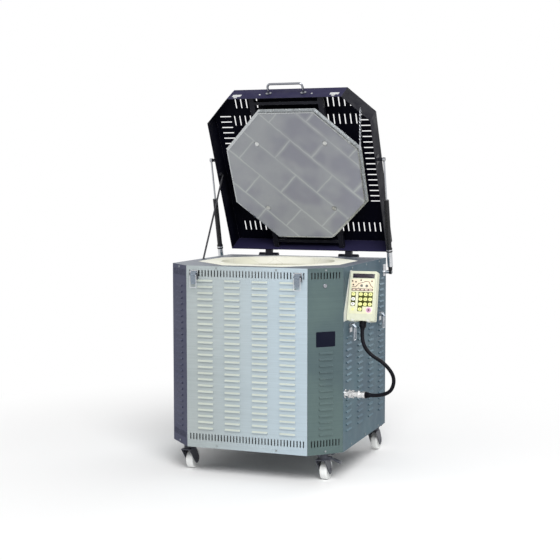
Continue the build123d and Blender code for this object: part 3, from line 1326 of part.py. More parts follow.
for side, side_name in ((-1, "left"), (1, "right")):
    foot = Vector(CABINET_X + side * STRUT_X, CABINET_Y, CABINET_Z) + FOOT
    axis = Plane(origin=foot, x_dir=(1, 0, 0), z_dir=STRUT_AXIS)
    with BuildPart() as cylinder:
        with BuildSketch(axis.offset(SLEEVE_BOTTOM - 14)):
            Circle(CYLINDER_LOW_RADIUS)
        extrude(amount=SLEEVE_TOP - SLEEVE_BOTTOM + 14)
        with BuildSketch(axis.offset(SLEEVE_TOP)):
            Circle(CYLINDER_RADIUS)
        extrude(amount=CYLINDER_TOP - SLEEVE_TOP)
        with BuildSketch(Plane(origin=foot - Vector(STRUT_EYE_HALF, 0, 0), x_dir=(0, 1, 0), z_dir=(1, 0, 0))):
            Circle(10)
        extrude(amount=2 * STRUT_EYE_HALF)
        with BuildSketch(Plane(origin=foot - Vector(12, 0, 0), x_dir=(0, 1, 0), z_dir=(1, 0, 0))):
            Circle(STUD_RADIUS + RUNNING)
        extrude(amount=24, mode=Mode.SUBTRACT)
        with BuildSketch(axis.offset(BORE_START)):
            Circle(ROD_RADIUS + ROD_CLEARANCE)
        extrude(amount=CYLINDER_TOP, mode=Mode.SUBTRACT)
    with BuildPart() as sleeve:
        with BuildSketch(axis.offset(SLEEVE_BOTTOM)):
            Circle(CYLINDER_RADIUS + 0.5)
            Circle(CYLINDER_LOW_RADIUS + RUNNING, mode=Mode.SUBTRACT)
        extrude(amount=SLEEVE_TOP - SLEEVE_BOTTOM - 0.2)
        for collar in (SLEEVE_TOP - 20, SLEEVE_TOP - 9):
            with BuildSketch(axis.offset(collar)):
                Circle(CYLINDER_RADIUS + 2.5)
                Circle(CYLINDER_LOW_RADIUS + RUNNING, mode=Mode.SUBTRACT)
            extrude(amount=6)
    save_group(f"strut_cylinder_{side_name}", cylinder, sleeve)
    with BuildPart() as rod:
        with BuildSketch(axis.offset(ROD_START)):
            Circle(ROD_RADIUS)
        extrude(amount=STRUT_LENGTH - ROD_START)
        eye_centre = foot + STRUT_AXIS * STRUT_LENGTH
        with BuildSketch(Plane(origin=eye_centre - Vector(STRUT_EYE_HALF, 0, 0), x_dir=(0, 1, 0), z_dir=(1, 0, 0))):
            Circle(9)
        extrude(amount=2 * STRUT_EYE_HALF)
        with BuildSketch(Plane(origin=eye_centre - Vector(STRUT_EYE_HALF, 0, 0), x_dir=(0, 1, 0), z_dir=(1, 0, 0))):
            Circle(STUD_RADIUS + RUNNING)
        extrude(amount=2 * STRUT_EYE_HALF, mode=Mode.SUBTRACT)
    save(rod, f"strut_rod_{side_name}")

# Stay rod: hooked into an eye inside the left skirt, its foot in the slot of the top plate
STAY_PIVOT = (-3.0, 16.0)
STAY_FOOT = (10.0, TOP_Z - 0.5)
STAY_RADIUS = 4.0
STAY_HOOK_X = -366.0
STAY_EYE_X = -360.0

with BuildPart() as stay_eye:
    stay_seat = seat(lid_side(STAY_EYE_X, -1), -STAY_PIVOT[0], STAY_PIVOT[1])
    with BuildSketch(stay_seat):
        Circle(8)
        Circle(STAY_RADIUS + RUNNING, mode=Mode.SUBTRACT)
    extrude(amount=HALF - SHEET + STAY_EYE_X)
save_group("lid_brackets", lid_hinge_leaves, lid_strut_studs, stay_eye, chain_eye)

with BuildPart() as stay_rod:
    stay_route = [
        Vector(*lid_point(STAY_HOOK_X, *STAY_PIVOT)),
        Vector(*lid_point(STAY_X, *STAY_PIVOT)),
        Vector(CABINET_X + STAY_X, CABINET_Y + STAY_FOOT[0], CABINET_Z + STAY_FOOT[1]),
    ]
    with BuildLine() as stay_line:
        FilletPolyline(*stay_route, radius=2 * STAY_RADIUS)
    with BuildSketch(Plane(origin=stay_route[0], x_dir=(0, 1, 0), z_dir=(1, 0, 0))):
        Circle(STAY_RADIUS)
    sweep(path=stay_line.line)
save(stay_rod, "stay_rod")
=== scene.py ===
"""Looks of the electric pottery kiln: finishes, fine pieces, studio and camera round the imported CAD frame.

Sizes are in millimetres, as in the CAD source, and the code turns them into metres. Only the cable, the
lamps, the floor and the fine relief of the finishes are given in metres.
"""
import logging
import math
from collections.abc import Sequence
from dataclasses import dataclass
from enum import Enum

import bmesh
import bpy
from mathutils import Matrix, Vector


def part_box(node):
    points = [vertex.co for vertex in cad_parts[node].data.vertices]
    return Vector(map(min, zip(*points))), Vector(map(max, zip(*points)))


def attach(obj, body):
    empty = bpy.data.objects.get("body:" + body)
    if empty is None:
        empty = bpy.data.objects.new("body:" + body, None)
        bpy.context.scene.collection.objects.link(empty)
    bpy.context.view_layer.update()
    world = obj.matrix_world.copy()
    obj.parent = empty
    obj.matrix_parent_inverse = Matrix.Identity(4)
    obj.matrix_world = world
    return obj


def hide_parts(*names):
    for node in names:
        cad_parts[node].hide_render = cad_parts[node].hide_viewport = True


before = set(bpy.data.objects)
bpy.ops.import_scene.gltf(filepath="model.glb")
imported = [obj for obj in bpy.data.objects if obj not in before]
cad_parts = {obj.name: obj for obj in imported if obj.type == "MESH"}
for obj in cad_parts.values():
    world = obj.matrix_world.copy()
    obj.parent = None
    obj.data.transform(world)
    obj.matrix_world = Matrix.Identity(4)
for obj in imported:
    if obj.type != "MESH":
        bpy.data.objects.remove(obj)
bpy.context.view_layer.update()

MM = 0.001
LOG = logging.getLogger("kiln")

Triple = tuple[float, float, float]
Colour = Triple
Point = tuple[float, float]
# Middle and size of an area on a face
Area = tuple[float, float, float, float]
Material = bpy.types.Material
Mesh = bmesh.types.BMesh
Socket = bpy.types.NodeSocket

# Radius of a turned piece where it meets its axis
LEAST_RADIUS = 0.01
HALF = 371.0
CORNER_CUT = 112.0
CORNER_MIDDLE = HALF - CORNER_CUT / 2
TOP_Z = 840.0
_top_low, _top_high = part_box("top_plate")
# Middle of the cabinet, at its own zero level
CENTRE = Vector(((_top_low.x + _top_high.x) / 2, (_top_low.y + _top_high.y) / 2, _top_high.z - TOP_Z * MM))
PIN_BEHIND = 24.35
PIN_Z = TOP_Z + 3.0
LID_OPEN = math.radians(63.67)


def linear(red: float, green: float, blue: float) -> Colour:
    """Linear colour of a colour that is given as the eye sees it.

    Args:
        red: Red channel, from 0 to 255.
        green: Green channel, from 0 to 255.
        blue: Blue channel, from 0 to 255.

    Returns:
        The linear colour, each channel from 0 to 1.
    """
    return tuple(
        channel / 12.92 if channel <= 0.04045 else ((channel + 0.055) / 1.055) ** 2.4
        for channel in (red / 255, green / 255, blue / 255)
    )


@dataclass(frozen=True)
class Face:
    """A flat face of the kiln with its own directions: u along it, v up it and w out of it.

    Args:
        origin: Place of the face's own origin, in metres.
        u: Direction of u.
        v: Direction of v.
    """

    origin: Vector
    u: Vector
    v: Vector

    @property
    def w(self) -> Vector:
        """Direction out of the face."""
        return self.u.cross(self.v)

    def at(self, u: float, v: float, w: float = 0.0) -> Vector:
        """Place in metres of a point given in the face's own millimetres."""
        return self.origin + (self.u * u + self.v * v + self.w * w) * MM

    def seat(self, u: float, v: float, w: float = 0.0) -> "Face":
        """Face with the same directions whose origin is at a place on this one."""
        return Face(self.at(u, v, w), self.u, self.v)

    def matrix(self) -> Matrix:
        """Transform from the face's own directions, in metres, to the row frame."""
        turn = Matrix((self.u, self.v, self.w)).transposed()
        return Matrix.Translation(self.origin) @ turn.to_4x4()


def lid_face() -> Face:
    """Finds the rim plane of the open lid.

    Returns:
        The plane as a face, with u to the right, v towards the hinge and w into the lid.
    """
    along = Vector((0, math.cos(LID_OPEN), -math.sin(LID_OPEN)))
    pin = CENTRE + Vector((0, HALF + PIN_BEHIND, PIN_Z)) * MM
    return Face(pin - along * (HALF + PIN_BEHIND) * MM, Vector((1, 0, 0)), along)


LID = lid_face()
# Right side of the cabinet, with u towards the rear
RIGHT = Face(CENTRE + Vector((HALF, 0, 0)) * MM, Vector((0, 1, 0)), Vector((0, 0, 1)))


class Nodes:
    """Node tree of one material, with short calls for the nodes that the finishes share."""

    def __init__(self, name: str) -> None:
        """Makes the material and keeps its shader.

        Args:
            name: Name of the material.
        """
        self.material = bpy.data.materials.new(name)
        self.material.use_nodes = True
        self.tree = self.material.node_tree
        self.shader = self.tree.nodes["Principled BSDF"]

    def node(self, kind: str, **settings: object) -> bpy.types.Node:
        """Adds a node.

        Args:
            kind: Its kind, as Blender calls it after ShaderNode.
            settings: Its own settings.

        Returns:
            The new node.
        """
        made = self.tree.nodes.new("ShaderNode" + kind)
        for key, value in settings.items():
            setattr(made, key, value)
        return made

    def feed(self, socket: Socket, value: object) -> None:
        """Links a socket to another, or sets its own value.

        Args:
            socket: The input.
            value: An output, a number or three numbers; a colour is made opaque.
        """
        if isinstance(value, Socket):
            self.tree.links.new(value, socket)
        elif isinstance(value, tuple) and len(value) == 3 and socket.type == "RGBA":
            socket.default_value = (*value, 1.0)
        else:
            socket.default_value = value

    def place(self) -> Socket:
        """Place on the object, which is the row frame at rest."""
        return self.node("TexCoord").outputs["Object"]

    def vector(self, operation: str, first: object, second: object) -> Socket:
        """Sum, product or the like of two vectors.

        Args:
            operation: What is done, as Blender calls it.
            first: First vector.
            second: Second vector.

        Returns:
            The result.
        """
        made = self.node("VectorMath", operation=operation)
        self.feed(made.inputs[0], first)
        self.feed(made.inputs[1], second)
        return made.outputs["Value" if operation in ("DOT_PRODUCT", "LENGTH", "DISTANCE") else "Vector"]

    def sum(self, operation: str, first: object, second: object = 0.0) -> Socket:
        """Sum, product or the like of two numbers.

        Args:
            operation: What is done, as Blender calls it.
            first: First number.
            second: Second number.

        Returns:
            The result.
        """
        made = self.node("Math", operation=operation)
        self.feed(made.inputs[0], first)
        self.feed(made.inputs[1], second)
        return made.outputs[0]

    def noise(self, place: object, scale: float, detail: float = 3.0, roughness: float = 0.55) -> Socket:
        """Cloudy noise.

        Args:
            place: Where it is read.
            scale: Features per metre.
            detail: Number of finer layers.
            roughness: Strength of the finer layers.

        Returns:
            The noise, from 0 to 1.
        """
        made = self.node("TexNoise")
        self.feed(made.inputs["Vector"], place)
        made.inputs["Scale"].default_value = scale
        made.inputs["Detail"].default_value = detail
        made.inputs["Roughness"].default_value = roughness
        return made.outputs["Fac"]

    def span(self, value: object, low: float, high: float, start: float, end: float) -> Socket:
        """Brings a value smoothly from one span into another.

        Args:
            value: The value.
            low: Start of its own span.
            high: End of its own span.
            start: What low becomes.
            end: What high becomes.

        Returns:
            The new value.
        """
        made = self.node("MapRange", interpolation_type="SMOOTHSTEP")
        for socket, number in zip(made.inputs, (value, low, high, start, end)):
            self.feed(socket, number)
        return made.outputs["Result"]

    def blend(self, factor: object, first: object, second: object) -> Socket:
        """Colour between two colours.

        Args:
            factor: Share of the second colour.
            first: First colour.
            second: Second colour.

        Returns:
            The colour.
        """
        made = self.node("Mix", data_type="RGBA")
        self.feed(made.inputs["Factor"], factor)
        self.feed(made.inputs[6], first)
        self.feed(made.inputs[7], second)
        return made.outputs[2]

    def bump(self, height: object, strength: float, distance: float, normal: object = None) -> Socket:
        """Surface normal of a fine relief.

        Args:
            height: Height of the relief, from 0 to 1.
            strength: How much of it shows, from 0 to 1.
            distance: Its full depth in metres.
            normal: Normal that it is laid on, if it isn't the surface's own.

        Returns:
            The normal.
        """
        made = self.node("Bump")
        made.inputs["Strength"].default_value = strength
        made.inputs["Distance"].default_value = distance
        self.feed(made.inputs["Height"], height)
        if normal is not None:
            self.feed(made.inputs["Normal"], normal)
        return made.outputs["Normal"]

    def edges(self, radius: float, low: float = 0.02, high: float = 0.3) -> tuple[Socket, Socket]:
        """Softens edges.

        Args:
            radius: Radius of the rounding, in metres.
            low: How far the normal turns where an edge begins.
            high: How far it turns where it is an edge in full.

        Returns:
            The softened normal, and how much of an edge a place is, from 0 to 1.
        """
        soft = self.node("Bevel", samples=4)
        soft.inputs["Radius"].default_value = radius
        true = self.node("NewGeometry").outputs["Normal"]
        along = self.vector("DOT_PRODUCT", soft.outputs["Normal"], true)
        return soft.outputs["Normal"], self.span(self.sum("SUBTRACT", 1.0, along), low, high, 0.0, 1.0)

    def set(self, **values: object) -> None:
        """Sets or links inputs of the shader; an underscore stands for a space."""
        for key, value in values.items():
            self.feed(self.shader.inputs[key.replace("_", " ")], value)

    def facing(self, direction: Triple) -> Socket:
        """How far a surface looks along a direction, from -1 to 1."""
        return self.vector("DOT_PRODUCT", self.node("TexCoord").outputs["Normal"], direction)

    def shaded(self, colour: object, shade: object) -> Socket:
        """Colour times a shade."""
        return self.vector("MULTIPLY", colour, self.vector("MULTIPLY", (1.0, 1.0, 1.0), shade))

    def bricks(
        self, place: object, colours: tuple[Colour, Colour, Colour], joint: Point, size: Point
    ) -> bpy.types.Node:
        """Adds a brick bond in which each row is half a brick on from the row under it.

        Args:
            place: Place in the bond, in metres.
            colours: Two colours of the bricks and the joints' colour.
            joint: Width of a joint and softness of its edge, from 0 to 1.
            size: Length of a brick and height of a row.

        Returns:
            The node, whose Fac is 1 in the joints.
        """
        made = self.node("TexBrick", offset=0.5)
        self.feed(made.inputs["Vector"], place)
        for key, value in {
            "Color1": colours[0], "Color2": colours[1], "Mortar": colours[2], "Scale": 1.0,
            "Mortar Size": joint[0] * MM, "Mortar Smooth": joint[1], "Brick Width": size[0] * MM,
            "Row Height": size[1] * MM,
        }.items():
            self.feed(made.inputs[key], value)
        return made


@dataclass(frozen=True)
class Sheet:
    """Rolled or enamelled sheet metal with clouds, fine grain and brighter edges."""

    name: str
    colour: Colour
    second: Colour
    metallic: float = 0.5
    roughness: float = 0.36
    grain: Triple = (4.0, 4.0, 700.0)
    grain_depth: float = 0.00004
    cloud_scale: float = 3.0
    edge_colour: Colour = (0.75, 0.77, 0.8)
    edge_radius: float = 0.0009
    edge_share: float = 0.4
    tint: Colour = (0.6, 0.6, 0.6)
    right: Colour | None = None
    fade: float = 260.0
    lit_hood_colour: Colour | None = None

    def make(self) -> Material:
        """Builds the material.

        Returns:
            The material; it turns to the right colour towards +X, which is a painted reflection, and to a
            painted highlight colour where it tips up.
        """
        nodes = Nodes(self.name)
        place = nodes.place()
        cloud = nodes.span(nodes.noise(place, self.cloud_scale, 4.0), 0.36, 0.64, 0.0, 1.0)
        lines = nodes.noise(nodes.vector("MULTIPLY", place, self.grain), 1.0, 2.0)
        colour = nodes.blend(cloud, self.colour, self.second)
        # Painted reflection: towards +X the sheet turns to the lighter right colour.
        if self.right is not None:
            along = nodes.vector("DOT_PRODUCT", place, (1.0, 0.0, 0.0))
            fade = self.fade * MM
            rightness = nodes.span(along, CENTRE.x - fade, CENTRE.x + fade, 0.0, 1.0)
            colour = nodes.blend(rightness, colour, self.right)
        # Painted highlight: faces that tip up, such as the louvres' tops, turn to a lighter cream colour.
        if self.lit_hood_colour is not None:
            tip = nodes.facing((0.0, 0.0, 1.0))
            colour = nodes.blend(nodes.span(tip, 0.35, 0.58, 0.0, 0.85), colour, self.lit_hood_colour)
        colour = nodes.shaded(colour, nodes.span(lines, 0.25, 0.75, 0.93, 1.05))
        # Brighter edges: partly wear, partly a painted highlight.
        soft, edge = nodes.edges(self.edge_radius)
        worn_and_lit = nodes.sum("MULTIPLY", edge, nodes.span(nodes.noise(place, 40.0), 0.4, 0.65, 0.3, 1.0))
        colour = nodes.blend(nodes.sum("MULTIPLY", worn_and_lit, self.edge_share), colour, self.edge_colour)
        roughness = nodes.span(nodes.noise(place, 9.0), 0.3, 0.7, self.roughness * 0.85, self.roughness * 1.2)
        nodes.set(
            Base_Color=colour, Metallic=self.metallic, Roughness=roughness, Specular_Tint=self.tint,
            Specular_IOR_Level=0.35, Normal=nodes.bump(lines, 0.5, self.grain_depth, soft),
        )
        return nodes.material


@dataclass(frozen=True)
class Enamel:
    """Sprayed enamel on sheet or bar: a little orange peel, dust in clouds, and edges lighter, partly as wear
    and partly as a painted highlight.
    """

    name: str
    colour: Colour
    lit_face_colour: Colour | None = None
    outward: Triple = (0.0, 0.0, 1.0)
    dust: Colour = (0.12, 0.12, 0.15)
    dust_share: float = 0.06
    roughness: float = 0.42
    edge_share: float = 0.25
    wear_and_highlight: Colour = (0.3, 0.3, 0.33)
    level: float = 0.25

    def make(self) -> Material:
        """Builds the material.

        Returns:
            The material; faces that look along outward take a lighter colour, which is painted light on one
            enamel.
        """
        nodes = Nodes(self.name)
        place = nodes.place()
        colour: object = self.colour
        # Painted light: faces that look along outward are lighter than the rest of the same enamel.
        if self.lit_face_colour is not None:
            lit_face = nodes.span(nodes.facing(self.outward), 0.85, 0.97, 0.0, 1.0)
            colour = nodes.blend(lit_face, self.colour, self.lit_face_colour)
        cloud = nodes.span(nodes.noise(place, 7.0, 5.0), 0.42, 0.75, 0.0, self.dust_share)
        colour = nodes.blend(cloud, colour, self.dust)
        # Lighter edges: partly wear, partly a painted highlight.
        soft, edge = nodes.edges(0.0012)
        patches = nodes.span(nodes.noise(place, 60.0), 0.45, 0.6, 0.2, self.edge_share * 2)
        colour = nodes.blend(nodes.sum("MULTIPLY", edge, patches), colour, self.wear_and_highlight)
        peel = nodes.noise(place, 450.0, 1.0)
        smudges = nodes.noise(place, 14.0)
        roughness = nodes.span(smudges, 0.3, 0.7, self.roughness * 0.85, self.roughness * 1.25)
        nodes.set(
            Base_Color=colour, Roughness=roughness, Specular_IOR_Level=self.level,
            Normal=nodes.bump(peel, 0.3, 0.00006, soft),
        )
        return nodes.material


@dataclass(frozen=True)
class Metal:
    """Bare or plated metal: chrome, zinc, stainless or dark oxide."""

    name: str
    colour: Colour
    roughness: float
    dull: Colour = (0.35, 0.35, 0.36)
    dull_share: float = 0.25
    scratch: float = 0.00003

    def make(self) -> Material:
        """Builds the material.

        Returns:
            The material.
        """
        nodes = Nodes(self.name)
        place = nodes.place()
        spots = nodes.span(nodes.noise(place, 55.0, 5.0), 0.5, 0.72, 0.0, self.dull_share)
        scratches = nodes.noise(nodes.vector("MULTIPLY", place, (300.0, 900.0, 300.0)), 1.0, 2.0)
        smudges = nodes.noise(place, 80.0)
        roughness = nodes.span(smudges, 0.3, 0.75, self.roughness * 0.7, self.roughness * 1.5)
        nodes.set(
            Base_Color=nodes.blend(spots, self.colour, self.dull), Metallic=1.0, Roughness=roughness,
            Specular_Tint=(0.8, 0.8, 0.8), Normal=nodes.bump(scratches, 0.4, self.scratch),
        )
        return nodes.material


@dataclass(frozen=True)
class Moulding:
    """Moulded plastic or rubber with a fine skin and slight scuffs."""

    name: str
    colour: Colour
    second: Colour
    roughness: float = 0.5
    skin_scale: float = 900.0
    skin_depth: float = 0.00005
    level: float = 0.4

    def make(self) -> Material:
        """Builds the material.

        Returns:
            The material.
        """
        nodes = Nodes(self.name)
        place = nodes.place()
        cloud = nodes.span(nodes.noise(place, 24.0, 5.0), 0.4, 0.7, 0.0, 1.0)
        skin = nodes.noise(place, self.skin_scale, 2.0)
        smudges = nodes.noise(place, 70.0)
        roughness = nodes.span(smudges, 0.3, 0.7, self.roughness * 0.85, self.roughness * 1.15)
        nodes.set(
            Base_Color=nodes.blend(cloud, self.colour, self.second), Roughness=roughness,
            Specular_IOR_Level=self.level, Normal=nodes.bump(skin, 0.35, self.skin_depth),
        )
        return nodes.material


@dataclass(frozen=True)
class Print(Moulding):
    """Printed area of the handset's front."""

    roughness: float = 0.45
    level: float = 0.2


@dataclass(frozen=True)
class KeyCap(Moulding):
    """Moulded key of the handset."""

    roughness: float = 0.4
    level: float = 0.3


@dataclass(frozen=True)
class WallBrick:
    """Insulating firebrick of the round chamber, in courses between the element grooves."""

    name: str = "chamber_firebrick"
    colour: Colour = linear(216, 215, 200)
    second: Colour = linear(203, 200, 180)
    joint: Colour = linear(186, 176, 140)
    course: float = 95.0
    first_joint_z: float = 212.5
    brick: float = 188.5
    bore_radius: float = 240.0
    joint_width: float = 1.2
    joint_softness: float = 0.3

    def make(self) -> Material:
        """Builds the material.

        Returns:
            The material; its joints follow the bore, a brick's length along and a course up.
        """
        nodes = Nodes(self.name)
        place = nodes.place()
        local = nodes.vector("SUBTRACT", place, tuple(CENTRE))
        parts = nodes.node("SeparateXYZ")
        nodes.feed(parts.inputs[0], local)
        turn = nodes.sum("ARCTAN2", parts.outputs["Y"], parts.outputs["X"])
        joined = nodes.node("CombineXYZ")
        nodes.feed(joined.inputs["X"], nodes.sum("MULTIPLY", turn, self.bore_radius * MM))
        nodes.feed(joined.inputs["Y"], nodes.sum("SUBTRACT", parts.outputs["Z"], self.first_joint_z * MM))
        colours = (self.colour, self.second, self.joint)
        joint = (self.joint_width, self.joint_softness)
        bricks = nodes.bricks(joined.outputs[0], colours, joint, (self.brick, self.course))
        pores = nodes.noise(place, 420.0, 4.0, 0.7)
        colour = nodes.blend(nodes.span(pores, 0.42, 0.68, 0.0, 0.35), bricks.outputs["Color"], self.joint)
        colour = nodes.blend(nodes.span(nodes.noise(place, 6.0), 0.35, 0.7, 0.0, 0.4), colour, self.second)
        height = nodes.sum("SUBTRACT", pores, bricks.outputs["Fac"])
        nodes.set(
            Base_Color=colour, Roughness=0.92, Specular_IOR_Level=0.1, Normal=nodes.bump(height, 0.6, 0.0006)
        )
        return nodes.material


@dataclass(frozen=True)
class CastRim:
    """Pale coated brick of the chamber's rim, with pores and a few hairline cracks."""

    name: str = "coated_rim"
    colour: Colour = linear(252, 251, 240)
    second: Colour = linear(238, 238, 216)
    crack: Colour = linear(190, 186, 160)

    def make(self) -> Material:
        """Builds the material.

        Returns:
            The material.
        """
        nodes = Nodes(self.name)
        place = nodes.place()
        pores = nodes.noise(place, 260.0, 4.0, 0.7)
        wander = nodes.vector("MULTIPLY", (0.05, 0.05, 0.05), nodes.noise(place, 9.0))
        cracks = nodes.node("TexVoronoi", feature="DISTANCE_TO_EDGE")
        nodes.feed(cracks.inputs["Vector"], nodes.vector("ADD", place, wander))
        nodes.feed(cracks.inputs["Scale"], 7.0)
        hair = nodes.span(cracks.outputs["Distance"], 0.0, 0.012, 0.5, 0.0)
        cloud = nodes.span(nodes.noise(place, 8.0), 0.35, 0.7, 0.0, 0.7)
        colour = nodes.blend(cloud, self.colour, self.second)
        colour = nodes.blend(nodes.sum("MULTIPLY", hair, nodes.noise(place, 5.0)), colour, self.crack)
        soft, edge = nodes.edges(0.004)
        colour = nodes.blend(nodes.sum("MULTIPLY", edge, 0.3), colour, self.second)
        nodes.set(
            Base_Color=colour, Roughness=0.85, Specular_IOR_Level=0.15,
            Normal=nodes.bump(pores, 0.4, 0.0004, soft),
        )
        return nodes.material


@dataclass(frozen=True)
class SlabBrick:
    """Coated bricks under the lid, laid in rows at 45 degrees with pale joints."""

    name: str = "lid_brick"
    colour: Colour = linear(145, 148, 152)
    second: Colour = linear(154, 157, 159)
    joint: Colour = linear(176, 180, 179)
    stain: Colour = linear(128, 129, 139)
    pack: Colour = linear(225, 222, 210)
    brick: float = 238.0
    row: float = 119.0
    row_start: float = 3.0
    joint_width: float = 5.0
    clean_width: float = 16.0
    sway: float = 6.0
    pack_depth: float = 30.0
    painted_shade_far: float = 0.86
    painted_light_near: float = 1.16

    def make(self) -> Material:
        """Builds the material.

        Returns:
            The material; the slab is lighter towards the hinge and darker away from it as painted light and
            shade, stains keep off its joints, and the pack is plain.
        """
        nodes = Nodes(self.name)
        place = nodes.place()
        local = nodes.vector("SUBTRACT", place, tuple(LID.origin))
        slope = math.sqrt(0.5)
        along = nodes.vector("DOT_PRODUCT", local, tuple((LID.u + LID.v) * slope))
        across = nodes.vector("DOT_PRODUCT", local, tuple((LID.v - LID.u) * slope))
        depth = nodes.vector("DOT_PRODUCT", local, tuple(LID.w))
        joined = nodes.node("CombineXYZ")
        nodes.feed(joined.inputs["X"], nodes.sum("ADD", along, self.brick / 2 * MM))
        nodes.feed(joined.inputs["Y"], nodes.sum("ADD", across, self.row_start * MM))
        sway = nodes.sum("MULTIPLY", nodes.noise(place, 30.0, 2.0), self.sway * MM)
        spread = nodes.vector("ADD", joined.outputs[0], nodes.vector("MULTIPLY", (1.0, 1.0, 0.0), sway))
        narrow, wide = (
            nodes.bricks(spread, (self.colour, self.second, self.joint), (width, 1.0), (self.brick, self.row))
            for width in (self.joint_width, self.clean_width)
        )
        patches = nodes.span(nodes.noise(place, 5.0), 0.35, 0.65, 0.2, 0.8)
        line = nodes.sum("MULTIPLY", narrow.outputs["Fac"], patches)
        cloud = nodes.span(nodes.noise(place, 9.0), 0.35, 0.7, 0.0, 0.8)
        colour = nodes.blend(cloud, self.colour, self.second)
        inner = nodes.sum("SUBTRACT", 1.0, wide.outputs["Fac"])
        blotch = nodes.sum("MULTIPLY", inner, nodes.span(nodes.noise(place, 6.0, 2.0), 0.38, 0.62, 0.1, 0.8))
        colour = nodes.blend(blotch, colour, self.stain)
        colour = nodes.blend(line, colour, self.joint)
        grit = nodes.noise(place, 380.0, 4.0, 0.7)
        colour = nodes.blend(nodes.span(grit, 0.45, 0.75, 0.0, 0.25), colour, self.stain)
        # Painted shade and light: darker away from the hinge, lighter towards it.
        towards_hinge = nodes.vector("DOT_PRODUCT", local, tuple(LID.v))
        shade = nodes.span(towards_hinge, -0.3, 0.3, self.painted_shade_far, self.painted_light_near)
        colour = nodes.shaded(colour, shade)
        behind = nodes.sum("GREATER_THAN", depth, self.pack_depth * MM)
        colour = nodes.blend(behind, colour, self.pack)
        soft, _ = nodes.edges(0.0025)
        height = nodes.sum("ADD", grit, nodes.sum("MULTIPLY", line, 0.8))
        nodes.set(
            Base_Color=colour, Roughness=0.62, Specular_IOR_Level=0.2,
            Normal=nodes.bump(height, 0.35, 0.0004, soft),
        )
        return nodes.material


